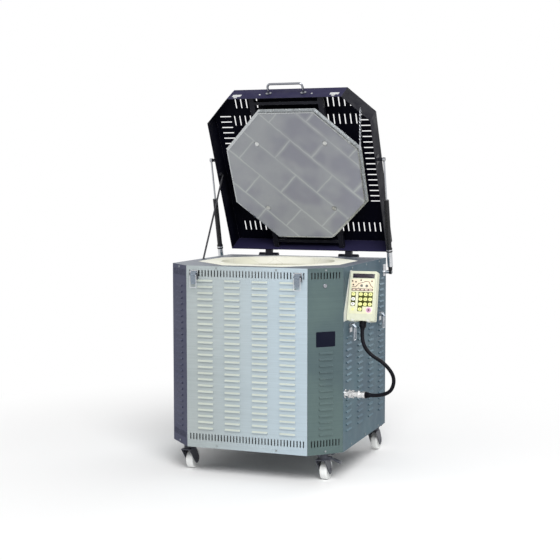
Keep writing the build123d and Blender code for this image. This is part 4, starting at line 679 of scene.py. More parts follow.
class Finish(Enum):
    """Every finish of the kiln; each is built once and then shared."""

    # On the front sheet the right colour is a painted reflection towards +X, and the colour for upturned faces
    # is a painted highlight on the louvres.
    FRONT_SHEET = Sheet(
        "silver_front_sheet", linear(160, 169, 170), linear(166, 174, 174), metallic=0.35, roughness=0.4,
        tint=(0.8, 0.8, 0.8), right=linear(175, 190, 199), lit_hood_colour=linear(190, 196, 184),
    )
    # Painted shade and reflection: the right corner sheet is the front sheet's paint, made darker and tinted.
    CORNER_SHEET = Sheet(
        "shaded_corner_sheet", linear(85, 101, 104), linear(94, 111, 110), metallic=0.5, roughness=0.38,
        tint=(0.35, 0.35, 0.35),
    )
    # Painted shade and reflection: the left corner sheet is the front sheet's paint, made dark navy.
    LEFT_CORNER_SHEET = Sheet(
        "shaded_left_corner_sheet", linear(70, 73, 95), linear(77, 80, 100), metallic=0.5, roughness=0.38,
        tint=(0.35, 0.35, 0.38),
    )
    # Painted shade and reflection: the side and rear sheets are the front sheet's paint, made darker and
    # bluer.
    SIDE_SHEET = Sheet(
        "shaded_side_sheet", linear(79, 101, 114), linear(90, 114, 124), metallic=0.5, roughness=0.36,
        cloud_scale=5.0, tint=(0.35, 0.36, 0.38),
    )
    TOP_SHEET = Sheet(
        "top_sheet", linear(104, 108, 124), linear(122, 128, 140), metallic=0.5, roughness=0.34,
        tint=(0.4, 0.4, 0.45),
    )
    FRAME_PAINT = Enamel("grey_frame_enamel", linear(110, 116, 120), dust=(0.3, 0.3, 0.3), roughness=0.5)
    # One enamel; its lighter colour on the face away from the hinge is painted light.
    LID_PAINT = Enamel(
        "navy_black_enamel", linear(8, 8, 20), lit_face_colour=linear(40, 38, 66), roughness=0.5,
        outward=tuple(-LID.v), dust_share=0.02, level=0.04,
    )
    # Its strong light edges are mostly a painted highlight.
    BLACK_PAINT = Enamel("black_enamel", linear(20, 20, 28), roughness=0.42, edge_share=0.45, level=0.15)
    BLANK_PAINT = Enamel(
        "blank_plate_enamel", linear(17, 20, 35), roughness=0.35, edge_share=0.1, dust_share=0.02, level=0.06
    )
    BRACKET_PAINT = Enamel(
        "white_bracket_enamel", linear(206, 208, 201), dust=(0.5, 0.5, 0.48), roughness=0.45, edge_share=0.05
    )
    ZINC = Metal("bright_zinc", (0.62, 0.63, 0.65), 0.3)
    FASTENER_ZINC = Metal("fastener_zinc", (0.72, 0.73, 0.73), 0.5, dull_share=0.1)
    SCREW_STEEL = Metal("dull_screw_steel", (0.33, 0.36, 0.37), 0.45, dull=(0.22, 0.24, 0.25))
    CHROME = Metal("polished_chrome", (0.45, 0.46, 0.49), 0.12, dull_share=0.12, scratch=0.00001)
    BRIGHT_CHROME = Metal("bail_chrome", (0.74, 0.75, 0.78), 0.14, dull_share=0.12, scratch=0.00001)
    HANDLE_CHROME = Metal("handle_chrome", (0.28, 0.29, 0.32), 0.15, dull=(0.2, 0.2, 0.22), dull_share=0.2)
    LEVER_STEEL = Metal("latch_lever_steel", (0.24, 0.28, 0.33), 0.3, dull=(0.15, 0.17, 0.21))
    STAINLESS = Metal("stainless_band", (0.55, 0.57, 0.58), 0.3)
    DARK_STEEL = Metal("dark_rod_steel", (0.05, 0.05, 0.055), 0.45, dull=(0.08, 0.08, 0.09))
    CASTER_STEEL = Metal("caster_steel", linear(88, 96, 110), 0.42, dull=(0.03, 0.035, 0.05), dull_share=0.7)
    # Painted shade: the jacket is made near black so the cabinet's inside looks dark through the slots.
    SHEET_STEEL = Metal("jacket_steel", (0.05, 0.05, 0.06), 0.5, dull=(0.035, 0.035, 0.045))
    HOT_WIRE = Metal("oxidised_wire", (0.16, 0.14, 0.13), 0.6)
    NICKEL = Metal("satin_nickel", (0.66, 0.66, 0.66), 0.28)
    NYLON = Moulding(
        "white_nylon", linear(224, 230, 232), linear(206, 213, 216), roughness=0.42, skin_scale=300.0
    )
    CREAM = Moulding("cream_moulding", linear(206, 208, 187), linear(198, 200, 179), level=0.25)
    RUBBER = Moulding("cable_sheath", linear(8, 8, 14), linear(16, 16, 24), 0.5, skin_scale=500.0, level=0.1)
    BLACK_PLASTIC = Moulding("black_plastic", linear(24, 24, 28), linear(32, 32, 36), roughness=0.45)
    STRUT_PAINT = Moulding("strut_enamel", linear(16, 16, 20), linear(24, 24, 28), roughness=0.3, level=0.35)
    WALL_BRICK = WallBrick()
    RIM = CastRim()
    SLAB = SlabBrick()
    DISPLAY = Moulding(
        "display_window", linear(34, 26, 38), linear(48, 40, 50), roughness=0.18, skin_depth=0.000005
    )
    FIELD = Print("print_cream", linear(222, 222, 192), linear(215, 214, 180))
    PEACH = Print("print_peach", linear(236, 217, 190), linear(232, 224, 205))
    MAUVE = Print("print_mauve", linear(104, 76, 82), linear(118, 90, 92))
    OLIVE = Print("print_olive", linear(56, 58, 8), linear(72, 76, 18))
    INK = Print("print_ink", linear(40, 34, 34), linear(54, 46, 44))
    PALE_PINK = Print("print_pale_pink", linear(236, 210, 218), linear(226, 200, 210))
    YELLOW_KEY = KeyCap("yellow_key", linear(232, 233, 158), linear(223, 225, 144))
    WHITE_KEY = KeyCap("white_key", linear(240, 240, 236), linear(228, 228, 226))
    PINK_KEY = KeyCap("pink_key", linear(196, 150, 176), linear(184, 136, 166))
    GREY_DOT = Moulding("grey_lens", linear(96, 98, 92), linear(120, 122, 112), roughness=0.3)

    @property
    def material(self) -> Material:
        """The finish's material."""
        return bpy.data.materials.get(self.value.name) or self.value.make()


def dress(finish: Finish, *nodes: str) -> None:
    """Gives CAD nodes a finish.

    Args:
        finish: The finish.
        nodes: Names of the nodes.
    """
    for name in nodes:
        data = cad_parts[name].data
        data.materials.clear()
        data.materials.append(finish.material)


@dataclass(frozen=True)
class Piece:
    """What a made piece is called, what it rides on and what it stands for.

    Args:
        name: Its name.
        body: Body that it rides on.
        slot: Slot of its material; not used.
        finish: Its finish.
        replaces: CAD nodes that it stands for.
        crease_deg: Angle between two faces from which their edge stays sharp.
    """

    name: str
    body: str
    slot: str
    finish: Finish
    replaces: tuple[str, ...] = ()
    crease_deg: float = 38.0

    def place(self, mesh: Mesh) -> bpy.types.Object:
        """Makes the object of a finished mesh and ties it to its body.

        Args:
            mesh: The mesh, in metres in the row frame.

        Returns:
            The new object.
        """
        bmesh.ops.recalc_face_normals(mesh, faces=mesh.faces)
        for face in mesh.faces:
            face.smooth = True
        limit = math.radians(self.crease_deg)
        for edge in mesh.edges:
            edge.smooth = len(edge.link_faces) == 2 and edge.calc_face_angle(0.0) < limit
        data = bpy.data.meshes.new(self.name)
        mesh.to_mesh(data)
        mesh.free()
        data.materials.append(self.finish.material)
        made = bpy.data.objects.new(self.name, data)
        bpy.context.scene.collection.objects.link(made)
        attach(made, self.body)
        if self.replaces:
            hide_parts(*self.replaces)
        LOG.info("piece %s: %d faces", self.name, len(data.polygons))
        return made


def join_rings(mesh: Mesh, rings: list[list], closed: bool, capped: bool) -> None:
    """Skins a row of rings of points.

    Args:
        mesh: Mesh that takes the skin.
        rings: Rings of its points, all of one count.
        closed: Whether the last ring joins the first.
        capped: Whether open ends are filled.
    """
    pairs = list(zip(rings, rings[1:]))
    if closed:
        pairs.append((rings[-1], rings[0]))
    for first, second in pairs:
        for index in range(len(first)):
            after = (index + 1) % len(first)
            mesh.faces.new((first[index], first[after], second[after], second[index]))
    if capped and not closed:
        mesh.faces.new(reversed(rings[0]))
        mesh.faces.new(rings[-1])


def add_tube(mesh: Mesh, line: list[Vector], radius: float, sides: int = 10, closed: bool = False) -> None:
    """Adds a round bar or wire.

    Args:
        mesh: Mesh that takes it.
        line: Points of its middle, in metres.
        radius: Its radius in millimetres.
        sides: Sides of its section.
        closed: Whether it ends where it starts.
    """
    rings = []
    across = None
    for index, point in enumerate(line):
        before = line[index - 1] if closed or index else line[0]
        after = line[(index + 1) % len(line)] if closed or index < len(line) - 1 else line[-1]
        forward = (after - before).normalized()
        across = forward.orthogonal() if across is None else across - forward * across.dot(forward)
        across.normalize()
        other = forward.cross(across)
        turns = (2 * math.pi * side / sides for side in range(sides))
        spokes = (across * math.cos(turn) + other * math.sin(turn) for turn in turns)
        rings.append([mesh.verts.new(point + spoke * radius * MM) for spoke in spokes])
    join_rings(mesh, rings, closed, True)


def add_turned(mesh: Mesh, face: Face, profile: Sequence[Point], sides: int = 48) -> None:
    """Adds a turned piece that stands on a face.

    Args:
        mesh: Mesh that takes it.
        face: Its axis is the face's w.
        profile: Radius and height of each point; a hollow ring if neither end is on the axis.
        sides: Sides of the round.
    """
    rings = []
    for radius, height in profile:
        turns = (2 * math.pi * side / sides for side in range(sides))
        width = max(radius, LEAST_RADIUS)
        places = (face.at(width * math.cos(turn), width * math.sin(turn), height) for turn in turns)
        rings.append([mesh.verts.new(place) for place in places])
    hollow = profile[0][0] > LEAST_RADIUS and profile[-1][0] > LEAST_RADIUS
    join_rings(mesh, rings, hollow, not hollow)


def rounded(width: float, height: float, radius: float, steps: int = 6) -> list[Point]:
    """Outline of a rectangle with round corners, centred on zero.

    Args:
        width: Its width.
        height: Its height.
        radius: Radius of its corners.
        steps: Steps of each corner.

    Returns:
        The outline's points.
    """
    corners = ((1, 1, 0), (-1, 1, 90), (-1, -1, 180), (1, -1, 270))
    return [
        (
            sx * (width / 2 - radius) + radius * math.cos(math.radians(start + 90 * step / steps)),
            sy * (height / 2 - radius) + radius * math.sin(math.radians(start + 90 * step / steps)),
        )
        for sx, sy, start in corners
        for step in range(steps + 1)
    ]


def add_pad(
    mesh: Mesh, face: Face, centre: Point, size: Point, radius: float, low: float, high: float, soft: float
) -> None:
    """Adds a flat pad with round corners and a softened top edge.

    Args:
        mesh: Mesh that takes it.
        face: Face it lies on.
        centre: Its middle on the face.
        size: Its width and height.
        radius: Corner radius.
        low: Height of its underside over the face.
        high: Height of its top.
        soft: Size of the rounding along its top edge.
    """
    rings = []
    levels = [(0.0, low), (0.0, high - soft), (soft * 0.3, high - soft * 0.3), (soft, high)]
    for inset, height in levels:
        ring = rounded(size[0] - 2 * inset, size[1] - 2 * inset, max(radius - inset, 0.05))
        rings.append([mesh.verts.new(face.at(centre[0] + u, centre[1] + v, height)) for u, v in ring])
    join_rings(mesh, rings, False, True)


def add_ribbon(mesh: Mesh, face: Face, line: Sequence[Point], width: float, low: float, high: float) -> None:
    """Adds a flat printed line.

    Args:
        mesh: Mesh that takes it.
        face: Face it lies on.
        line: Points of its middle on the face.
        width: Its width.
        low: Height of its underside over the face.
        high: Height of its top.
    """
    rings = []
    for index, (u, v) in enumerate(line):
        before = line[max(index - 1, 0)]
        after = line[min(index + 1, len(line) - 1)]
        run = math.dist(before, after)
        side_u = (before[1] - after[1]) / run * width / 2
        side_v = (after[0] - before[0]) / run * width / 2
        corners = ((1, low), (1, high), (-1, high), (-1, low))
        places = (face.at(u + sign * side_u, v + sign * side_v, height) for sign, height in corners)
        rings.append([mesh.verts.new(place) for place in places])
    join_rings(mesh, rings, False, True)


def add_prism(mesh: Mesh, face: Face, outline: Sequence[Point], low: float, high: float) -> None:
    """Adds a straight-sided piece of an outline between two heights over a face."""
    rings = [[mesh.verts.new(face.at(u, v, height)) for u, v in outline] for height in (low, high)]
    join_rings(mesh, rings, False, True)


@dataclass(frozen=True)
class Lamp:
    """Square soft lamp that looks at the kiln.

    Args:
        name: Its name.
        turn_deg: Turn of its place from the front, towards the right.
        rise_deg: Angle of its place over the level of its aim.
        size: Its side in metres.
        power: Its power in watts.
        distance: Its distance from its aim, in metres.
        aim_height: Height that it looks at, in metres.
    """

    name: str
    turn_deg: float
    rise_deg: float
    size: float
    power: float
    distance: float = 5.0
    aim_height: float = 0.8

    def hang(self) -> None:
        """Hangs the lamp."""
        turn, rise = math.radians(self.turn_deg), math.radians(self.rise_deg)
        away = Vector((math.sin(turn) * math.cos(rise), -math.cos(turn) * math.cos(rise), math.sin(rise)))
        data = bpy.data.lights.new(self.name, "AREA")
        data.size = self.size
        data.energy = self.power
        lamp = bpy.data.objects.new(self.name, data)
        lamp.location = Vector((0, 0, self.aim_height)) + away * self.distance
        lamp.rotation_euler = away.to_track_quat("Z", "Y").to_euler()
        bpy.context.scene.collection.objects.link(lamp)


@dataclass
class Studio:
    """Camera at the photograph's angle, plain floor, soft lamps and a white surround."""

    camera_place: Triple = (1792.47, -4847.62, 1191.03)
    turn_deg: float = 20.2108
    down_deg: float = 4.7746
    lens: float = 78.483
    sensor: float = 36.0
    floor_radius: float = 30.0
    world_level: float = 0.42
    floor_level: float = 0.93
    fade_start: float = 0.75
    fade_end: float = 2.2
    lamps: tuple[Lamp, ...] = (
        Lamp("key_lamp", turn_deg=28.0, rise_deg=36.0, size=2.6, power=225.0),
        Lamp("left_fill_lamp", turn_deg=-62.0, rise_deg=24.0, size=3.0, power=30.0),
        Lamp("rear_fill_lamp", turn_deg=165.0, rise_deg=30.0, size=3.0, power=90.0),
    )

    def build(self) -> None:
        """Builds camera, floor, world and lamps."""
        bpy.context.scene.view_settings.view_transform = "Standard"
        self.make_camera()
        self.make_floor()
        self.make_world()
        for lamp in self.lamps:
            lamp.hang()

    def make_camera(self) -> None:
        """Sets the camera where the photograph was taken from."""
        data = bpy.data.cameras.new("camera")
        data.lens = self.lens
        data.sensor_width = self.sensor
        data.clip_end = 200.0
        camera = bpy.data.objects.new("camera", data)
        camera.location = CENTRE + Vector(self.camera_place) * MM
        camera.rotation_euler = (math.radians(90 - self.down_deg), 0, math.radians(self.turn_deg))
        bpy.context.scene.collection.objects.link(camera)
        bpy.context.scene.camera = camera

    def make_floor(self) -> None:
        """Lays a round floor that keeps the shadow near the kiln and turns white further off."""
        nodes = Nodes("pale_floor")
        path = nodes.node("LightPath")
        seen = nodes.sum("MAXIMUM", path.outputs["Is Camera Ray"], path.outputs["Is Glossy Ray"])
        seen = nodes.sum("MAXIMUM", seen, path.outputs["Is Transmission Ray"])
        away = nodes.vector("LENGTH", nodes.place(), (0.0, 0.0, 0.0))
        far = nodes.span(away, self.fade_start, self.fade_end, 0.0, 1.0)
        shown = nodes.sum("MULTIPLY", far, seen)
        white = nodes.node("Emission")
        mixed = nodes.node("MixShader")
        nodes.set(Base_Color=(self.floor_level,) * 3, Roughness=0.8, Specular_IOR_Level=0.1)
        nodes.feed(mixed.inputs[0], shown)
        nodes.feed(mixed.inputs[1], nodes.shader.outputs[0])
        nodes.feed(mixed.inputs[2], white.outputs[0])
        nodes.feed(nodes.tree.nodes["Material Output"].inputs["Surface"], mixed.outputs[0])
        mesh = bmesh.new()
        bmesh.ops.create_circle(mesh, cap_ends=True, radius=self.floor_radius, segments=96)
        data = bpy.data.meshes.new("floor")
        mesh.to_mesh(data)
        mesh.free()
        data.materials.append(nodes.material)
        floor = bpy.data.objects.new("floor", data)
        bpy.context.scene.collection.objects.link(floor)

    def make_world(self) -> None:
        """Surrounds the kiln with an even light that camera, gloss and glass see as white."""
        world = bpy.data.worlds.new("surround")
        bpy.context.scene.world = world
        world.use_nodes = True
        tree = world.node_tree
        tree.nodes.clear()
        path = tree.nodes.new("ShaderNodeLightPath")
        light = tree.nodes.new("ShaderNodeBackground")
        light.inputs["Color"].default_value = (1.0, 1.0, 1.0, 1.0)
        light.inputs["Strength"].default_value = self.world_level
        white = tree.nodes.new("ShaderNodeBackground")
        white.inputs["Color"].default_value = (1.0, 1.0, 1.0, 1.0)
        mixed = tree.nodes.new("ShaderNodeMixShader")
        output = tree.nodes.new("ShaderNodeOutputWorld")
        seen = path.outputs["Is Camera Ray"]
        for name in ("Is Glossy Ray", "Is Transmission Ray"):
            larger = tree.nodes.new("ShaderNodeMath")
            larger.operation = "MAXIMUM"
            tree.links.new(seen, larger.inputs[0])
            tree.links.new(path.outputs[name], larger.inputs[1])
            seen = larger.outputs[0]
        tree.links.new(seen, mixed.inputs[0])
        tree.links.new(light.outputs[0], mixed.inputs[1])
        tree.links.new(white.outputs[0], mixed.inputs[2])
        tree.links.new(mixed.outputs[0], output.inputs["Surface"])


@dataclass
class HandsetCable:
    """Sheathed cable from the handset's gland down to the plug in the side panel."""

    diameter: float = 0.015
    length: float = 0.3846
    route: tuple[tuple[float, float, float], ...] = (
        (0.40081, -0.26359, 0.60608),
        (0.40081, -0.27455, 0.56347),
        (0.43281, -0.27859, 0.513),
        (0.49981, -0.27859, 0.479),
        (0.54281, -0.27659, 0.418),
        (0.51281, -0.27559, 0.348),
        (0.44081, -0.27559, 0.348),
    )

    def build(self) -> None:
        """Lays the cable on one smooth line through the route's points."""
        curve = bpy.data.curves.new("handset_cable_sheath", "CURVE")
        curve.dimensions = "3D"
        curve.bevel_depth = self.diameter / 2
        curve.bevel_resolution = 8
        curve.resolution_u = 24
        spline = curve.splines.new("NURBS")
        spline.points.add(len(self.route) - 1)
        for point, place in zip(spline.points, self.route):
            point.co = (*place, 1.0)
        spline.order_u = 3
        spline.use_endpoint_u = True
        curve.materials.append(Finish.RUBBER.material)
        cable = bpy.data.objects.new("handset_cable_sheath", curve)
        bpy.context.scene.collection.objects.link(cable)
        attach(cable, "cabinet")
        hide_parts("handset_cable")
        LOG.info("handset cable laid")


@dataclass
class Cabinet:
    """Sheet panels, frame, top plate and their small parts."""

    def build(self) -> None:
        """Dresses the panels, the frame and the fittings that have no finer piece."""
        dress(Finish.FRONT_SHEET, "front_panel")
        dress(Finish.CORNER_SHEET, "front_right_corner_panel")
        dress(Finish.LEFT_CORNER_SHEET, "front_left_corner_panel")
        dress(Finish.SIDE_SHEET, "left_side_panel", "right_side_panel", "rear_panel")
        dress(Finish.TOP_SHEET, "top_plate")
        dress(Finish.FRAME_PAINT, "base_frame")
        dress(Finish.ZINC, "latch_bases", "strut_brackets")
        dress(Finish.SCREW_STEEL, "panel_screws")
        dress(Finish.BRACKET_PAINT, "handset_bracket")
        dress(Finish.BLACK_PAINT, "hinge_brackets")
        dress(Finish.BLANK_PAINT, "blank_plate")
        dress(Finish.HANDLE_CHROME, "key_lock_barrel")
        dress(Finish.CHROME, "key_lock_rotor")
        dress(Finish.BLACK_PLASTIC, "mains_gland", "electrical_parts")
        LOG.info("cabinet dressed")


@dataclass
class Chamber:
    """Brick chamber with a coiled heating element in each groove."""

    ring_radius: float = 246.0
    coil_radius: float = 3.0
    wire_radius: float = 0.95
    pitch: float = 8.0
    gap_deg: float = 10.0
    lead_end_x: float = 330.0
    lead_radius: float = 3.2
    turn_steps: int = 7
    wire_sides: int = 5
    lead_sides: int = 8
    element_heights: tuple[float, ...] = (260.0, 355.0, 450.0, 545.0, 640.0, 735.0)

    def build(self) -> None:
        """Dresses the bricks and winds the elements."""
        dress(Finish.WALL_BRICK, "chamber_wall", "chamber_floor")
        dress(Finish.RIM, "chamber_rim")
        dress(Finish.SHEET_STEEL, "chamber_jacket")
        mesh = bmesh.new()
        for height in self.element_heights:
            add_tube(mesh, self.coil_line(height), self.wire_radius, self.wire_sides)
            for sign in (-1, 1):
                add_tube(mesh, self.lead_line(height, sign), self.lead_radius, self.lead_sides)
        Piece("element_coils", "cabinet", "element_wire", Finish.HOT_WIRE, ("heating_elements",)).place(mesh)

    def coil_line(self, height: float) -> list[Vector]:
        """Lays out one coil, which runs round the chamber from one lead to the other.

        Args:
            height: Its height in the chamber.

        Returns:
            The points along it, in metres.
        """
        start = math.radians(self.gap_deg)
        sweep = 2 * math.pi - 2 * start
        turns = round(sweep * self.ring_radius / self.pitch)
        steps = self.turn_steps * turns
        line = []
        for step in range(steps + 1):
            around = start + sweep * step / steps
            wind = 2 * math.pi * turns * step / steps
            radius = self.ring_radius + self.coil_radius * math.cos(wind)
            rise = height + self.coil_radius * math.sin(wind)
            line.append(CENTRE + Vector((radius * math.cos(around), radius * math.sin(around), rise)) * MM)
        return line

    def lead_line(self, height: float, sign: int) -> list[Vector]:
        """Lays out one straight lead from the coil out through the wall.

        Args:
            height: Height of its coil.
            sign: 1 for the coil's start and -1 for its end.

        Returns:
            Both ends of the lead, in metres.
        """
        turn = math.radians(self.gap_deg) * sign
        outwards = Vector((math.cos(turn), math.sin(turn), 0))
        rise = Vector((0, 0, height))
        return [
            CENTRE + (outwards * self.ring_radius + rise) * MM,
            CENTRE + (outwards * self.lead_end_x / math.cos(turn) + rise) * MM,
        ]


@dataclass
class Lid:
    """Lid shell with its slab, frame, handle and strikes."""

    def build(self) -> None:
        """Dresses the lid's pieces."""
        dress(Finish.LID_PAINT, "lid_shell")
        dress(Finish.SLAB, "lid_slab")
        dress(Finish.STAINLESS, "slab_band")
        dress(Finish.BLACK_PAINT, "slab_frame", "lid_brackets")
        dress(Finish.FASTENER_ZINC, "lid_fasteners", "strike_plates")
        dress(Finish.HANDLE_CHROME, "lid_handle")
        dress(Finish.DARK_STEEL, "stay_rod")
        LOG.info("lid dressed")


@dataclass
class LidChain:
    """Chain of welded links with a snap hook, which hangs from the lid's right corner."""

    place: Point = (16.0, 3.2)
    stand_off: float = 10.0
    ring_radius: float = 5.0
    wire: float = 0.95
    link_length: float = 9.5
    link_width: float = 6.4
    length: float = 128.0
    hook_length: float = 42.0
    hook_width: float = 12.0
    hook_wire: float = 1.6
    ring_wire: float = 1.1
    slack: float = 0.4
    hook_lap: float = 2.0
    swivel_drop: float = 1.0
    swivel: tuple[Point, ...] = ((0.0, -2.2), (2.0, -2.2), (2.6, -1.2), (2.6, 1.2), (2.0, 2.2), (0.0, 2.2))
    gate_wire: float = 2.1
    gate_inset: float = 0.5
    gate: tuple[float, ...] = (-9.0, -3.0, 3.0, 9.0)
    ring_sides: int = 8
    link_sides: int = 7
    hook_sides: int = 9
    end_steps: int = 8

    def build(self) -> None:
        """Links the chain and bends the hook."""
        middle = LID.seat(CORNER_MIDDLE, -CORNER_MIDDLE)
        outwards = Vector((LID.u - LID.v)).normalized()
        along = Vector((LID.u + LID.v)).normalized()
        shift = along * self.place[0] + LID.w * self.place[1] + outwards * self.stand_off
        centre = middle.origin + shift * MM
        hang = Face(centre, Vector((0, 1, 0)), Vector((0, 0, 1)))
        turned = Face(centre, Vector((1, 0, 0)), Vector((0, 0, 1)))
        mesh = bmesh.new()
        ring = self.oval(hang, 0.0, 2 * self.ring_radius, 2 * self.ring_radius)
        add_tube(mesh, ring, self.ring_wire, self.ring_sides, closed=True)
        step = self.link_length - 2 * self.wire - self.slack
        first = -self.ring_radius - step / 2
        count = round(self.length / step)
        for index in range(count):
            face = turned if index % 2 == 0 else hang
            link = self.oval(face, first - step * index, self.link_width, self.link_length)
            add_tube(mesh, link, self.wire, self.link_sides, closed=True)
        hook = first - step * (count - 0.5) - self.hook_length / 2 + self.hook_lap
        loop = self.oval(hang, hook, self.hook_width, self.hook_length)
        add_tube(mesh, loop, self.hook_wire, self.hook_sides, closed=True)
        top = hang.at(0, hook + self.hook_length / 2 - self.swivel_drop)
        add_turned(mesh, Face(top, hang.u, hang.w), self.swivel)
        gate = [hang.at(-self.hook_width / 2 + self.gate_inset, hook + rise) for rise in self.gate]
        add_tube(mesh, gate, self.gate_wire)
        Piece("chain_links", "lid_chain", "chrome", Finish.CHROME, ("lid_chain",)).place(mesh)

    def oval(self, face: Face, middle: float, width: float, height: float) -> list[Vector]:
        """Lays out a link with two straight sides and two round ends.

        Args:
            face: Face it lies in.
            middle: Height of its middle on the face.
            width: Width between the middles of its sides.
            height: Height between the middles of its ends.

        Returns:
            The points along its wire, in metres.
        """
        radius = width / 2
        straight = max(height / 2 - radius, 0.0)
        points = []
        for end, start in ((1, 0), (-1, 180)):
            for step in range(self.end_steps + 1):
                turn = math.radians(start + 180 / self.end_steps * step)
                v = middle + end * straight + radius * math.sin(turn)
                points.append(face.at(radius * math.cos(turn), v))
        return points


@dataclass
class Latches:
    """Toggle latches on the front and the right side."""

    names: tuple[str, ...] = ("front_left", "front_right", "side_front", "side_rear")

    def build(self) -> None:
        """Dresses levers and bails."""
        for name in self.names:
            dress(Finish.LEVER_STEEL, f"latch_lever_{name}")
            dress(Finish.BRIGHT_CHROME, f"latch_bail_{name}")
        LOG.info("latches dressed")


@dataclass
class Struts:
    """Gas struts on both sides of the lid, each with a bright sleeve round its foot."""

    x: float = 401.0
    foot: Point = (338.0, 780.0)
    eye_y: float = -67.0
    eye_depth: float = 30.0
    sleeve: tuple[Point, ...] = (
        (9.2, 26.0), (11.9, 26.0), (11.9, 94.0), (12.6, 95.0), (12.6, 106.0), (9.2, 106.5),
    )

    def build(self) -> None:
        """Dresses tubes and rods and slides a sleeve on each foot."""
        for side, sign in (("left", -1), ("right", 1)):
            cylinder = f"strut_cylinder_{side}"
            dress(Finish.STRUT_PAINT, cylinder)
            dress(Finish.CHROME, f"strut_rod_{side}")
            mesh = bmesh.new()
            add_turned(mesh, self.foot_face(sign), self.sleeve)
            Piece(f"strut_sleeve_{side}", cylinder, "latch_steel", Finish.ZINC, crease_deg=25.0).place(mesh)
        LOG.info("struts dressed")

    def foot_face(self, sign: int) -> Face:
        """Finds the foot of a strut.

        Args:
            sign: -1 for the left strut and 1 for the right one.

        Returns:
            Face at the foot, whose w runs up the strut.
        """
        foot_y, foot_z = self.foot
        foot = CENTRE + Vector((sign * self.x, foot_y, foot_z)) * MM
        along = (LID.at(sign * self.x, self.eye_y, self.eye_depth) - foot).normalized()
        across = Vector((1, 0, 0))
        return Face(foot, across, along.cross(across))


@dataclass
class Casters:
    """Four swivel casters; the front right one has a brake pedal."""

    corners: tuple[str, ...] = ("front_left", "front_right", "rear_left", "rear_right")

    def build(self) -> None:
        """Dresses plates, forks, wheels and the pedal."""
        dress(Finish.CASTER_STEEL, "caster_plates", "brake_pedal")
        for corner in self.corners:
            dress(Finish.CASTER_STEEL, f"caster_fork_{corner}")
            dress(Finish.NYLON, f"caster_wheel_{corner}")
        LOG.info("casters dressed")


@dataclass(frozen=True)
class Ribs:
    """Ribs along a moulded sleeve.

    Args:
        count: Number of ribs.
        start: Height of the first groove.
        pitch: Distance from one groove to the next.
        groove: Radius of the first groove.
        groove_taper: How much smaller each further groove is.
        crest: Radius of the first rib.
        crest_taper: How much smaller each further rib is.
        rise: Heights over a groove's start where its rib begins and ends.
        flat: Width of a groove.
    """

    count: int
    start: float
    pitch: float
    groove: float
    groove_taper: float
    crest: float
    crest_taper: float
    rise: Point
    flat: float = 1.0

    def profile(self) -> list[Point]:
        """Lays out the ribs.

        Returns:
            Radius and height of each point.
        """
        points = []
        for rib in range(self.count):
            low = self.start + rib * self.pitch
            groove = self.groove - rib * self.groove_taper
            crest = self.crest - rib * self.crest_taper
            points += [(groove, low), (groove, low + self.flat), *((crest, low + rise) for rise in self.rise)]
        return points


class Sign(Enum):
    """Raised sign of a key, as its outline round the key's middle."""

    UP = ((-3.0, -2.2), (3.0, -2.2), (0.0, 2.8))
    DOWN = ((-3.0, 2.2), (0.0, -2.8), (3.0, 2.2))
    BAR = ((-3.6, -0.7), (3.6, -0.7), (3.6, 0.7), (-3.6, 0.7))
    STOP = ((-2.8, -2.8), (2.8, -2.8), (2.8, 2.8), (-2.8, 2.8))


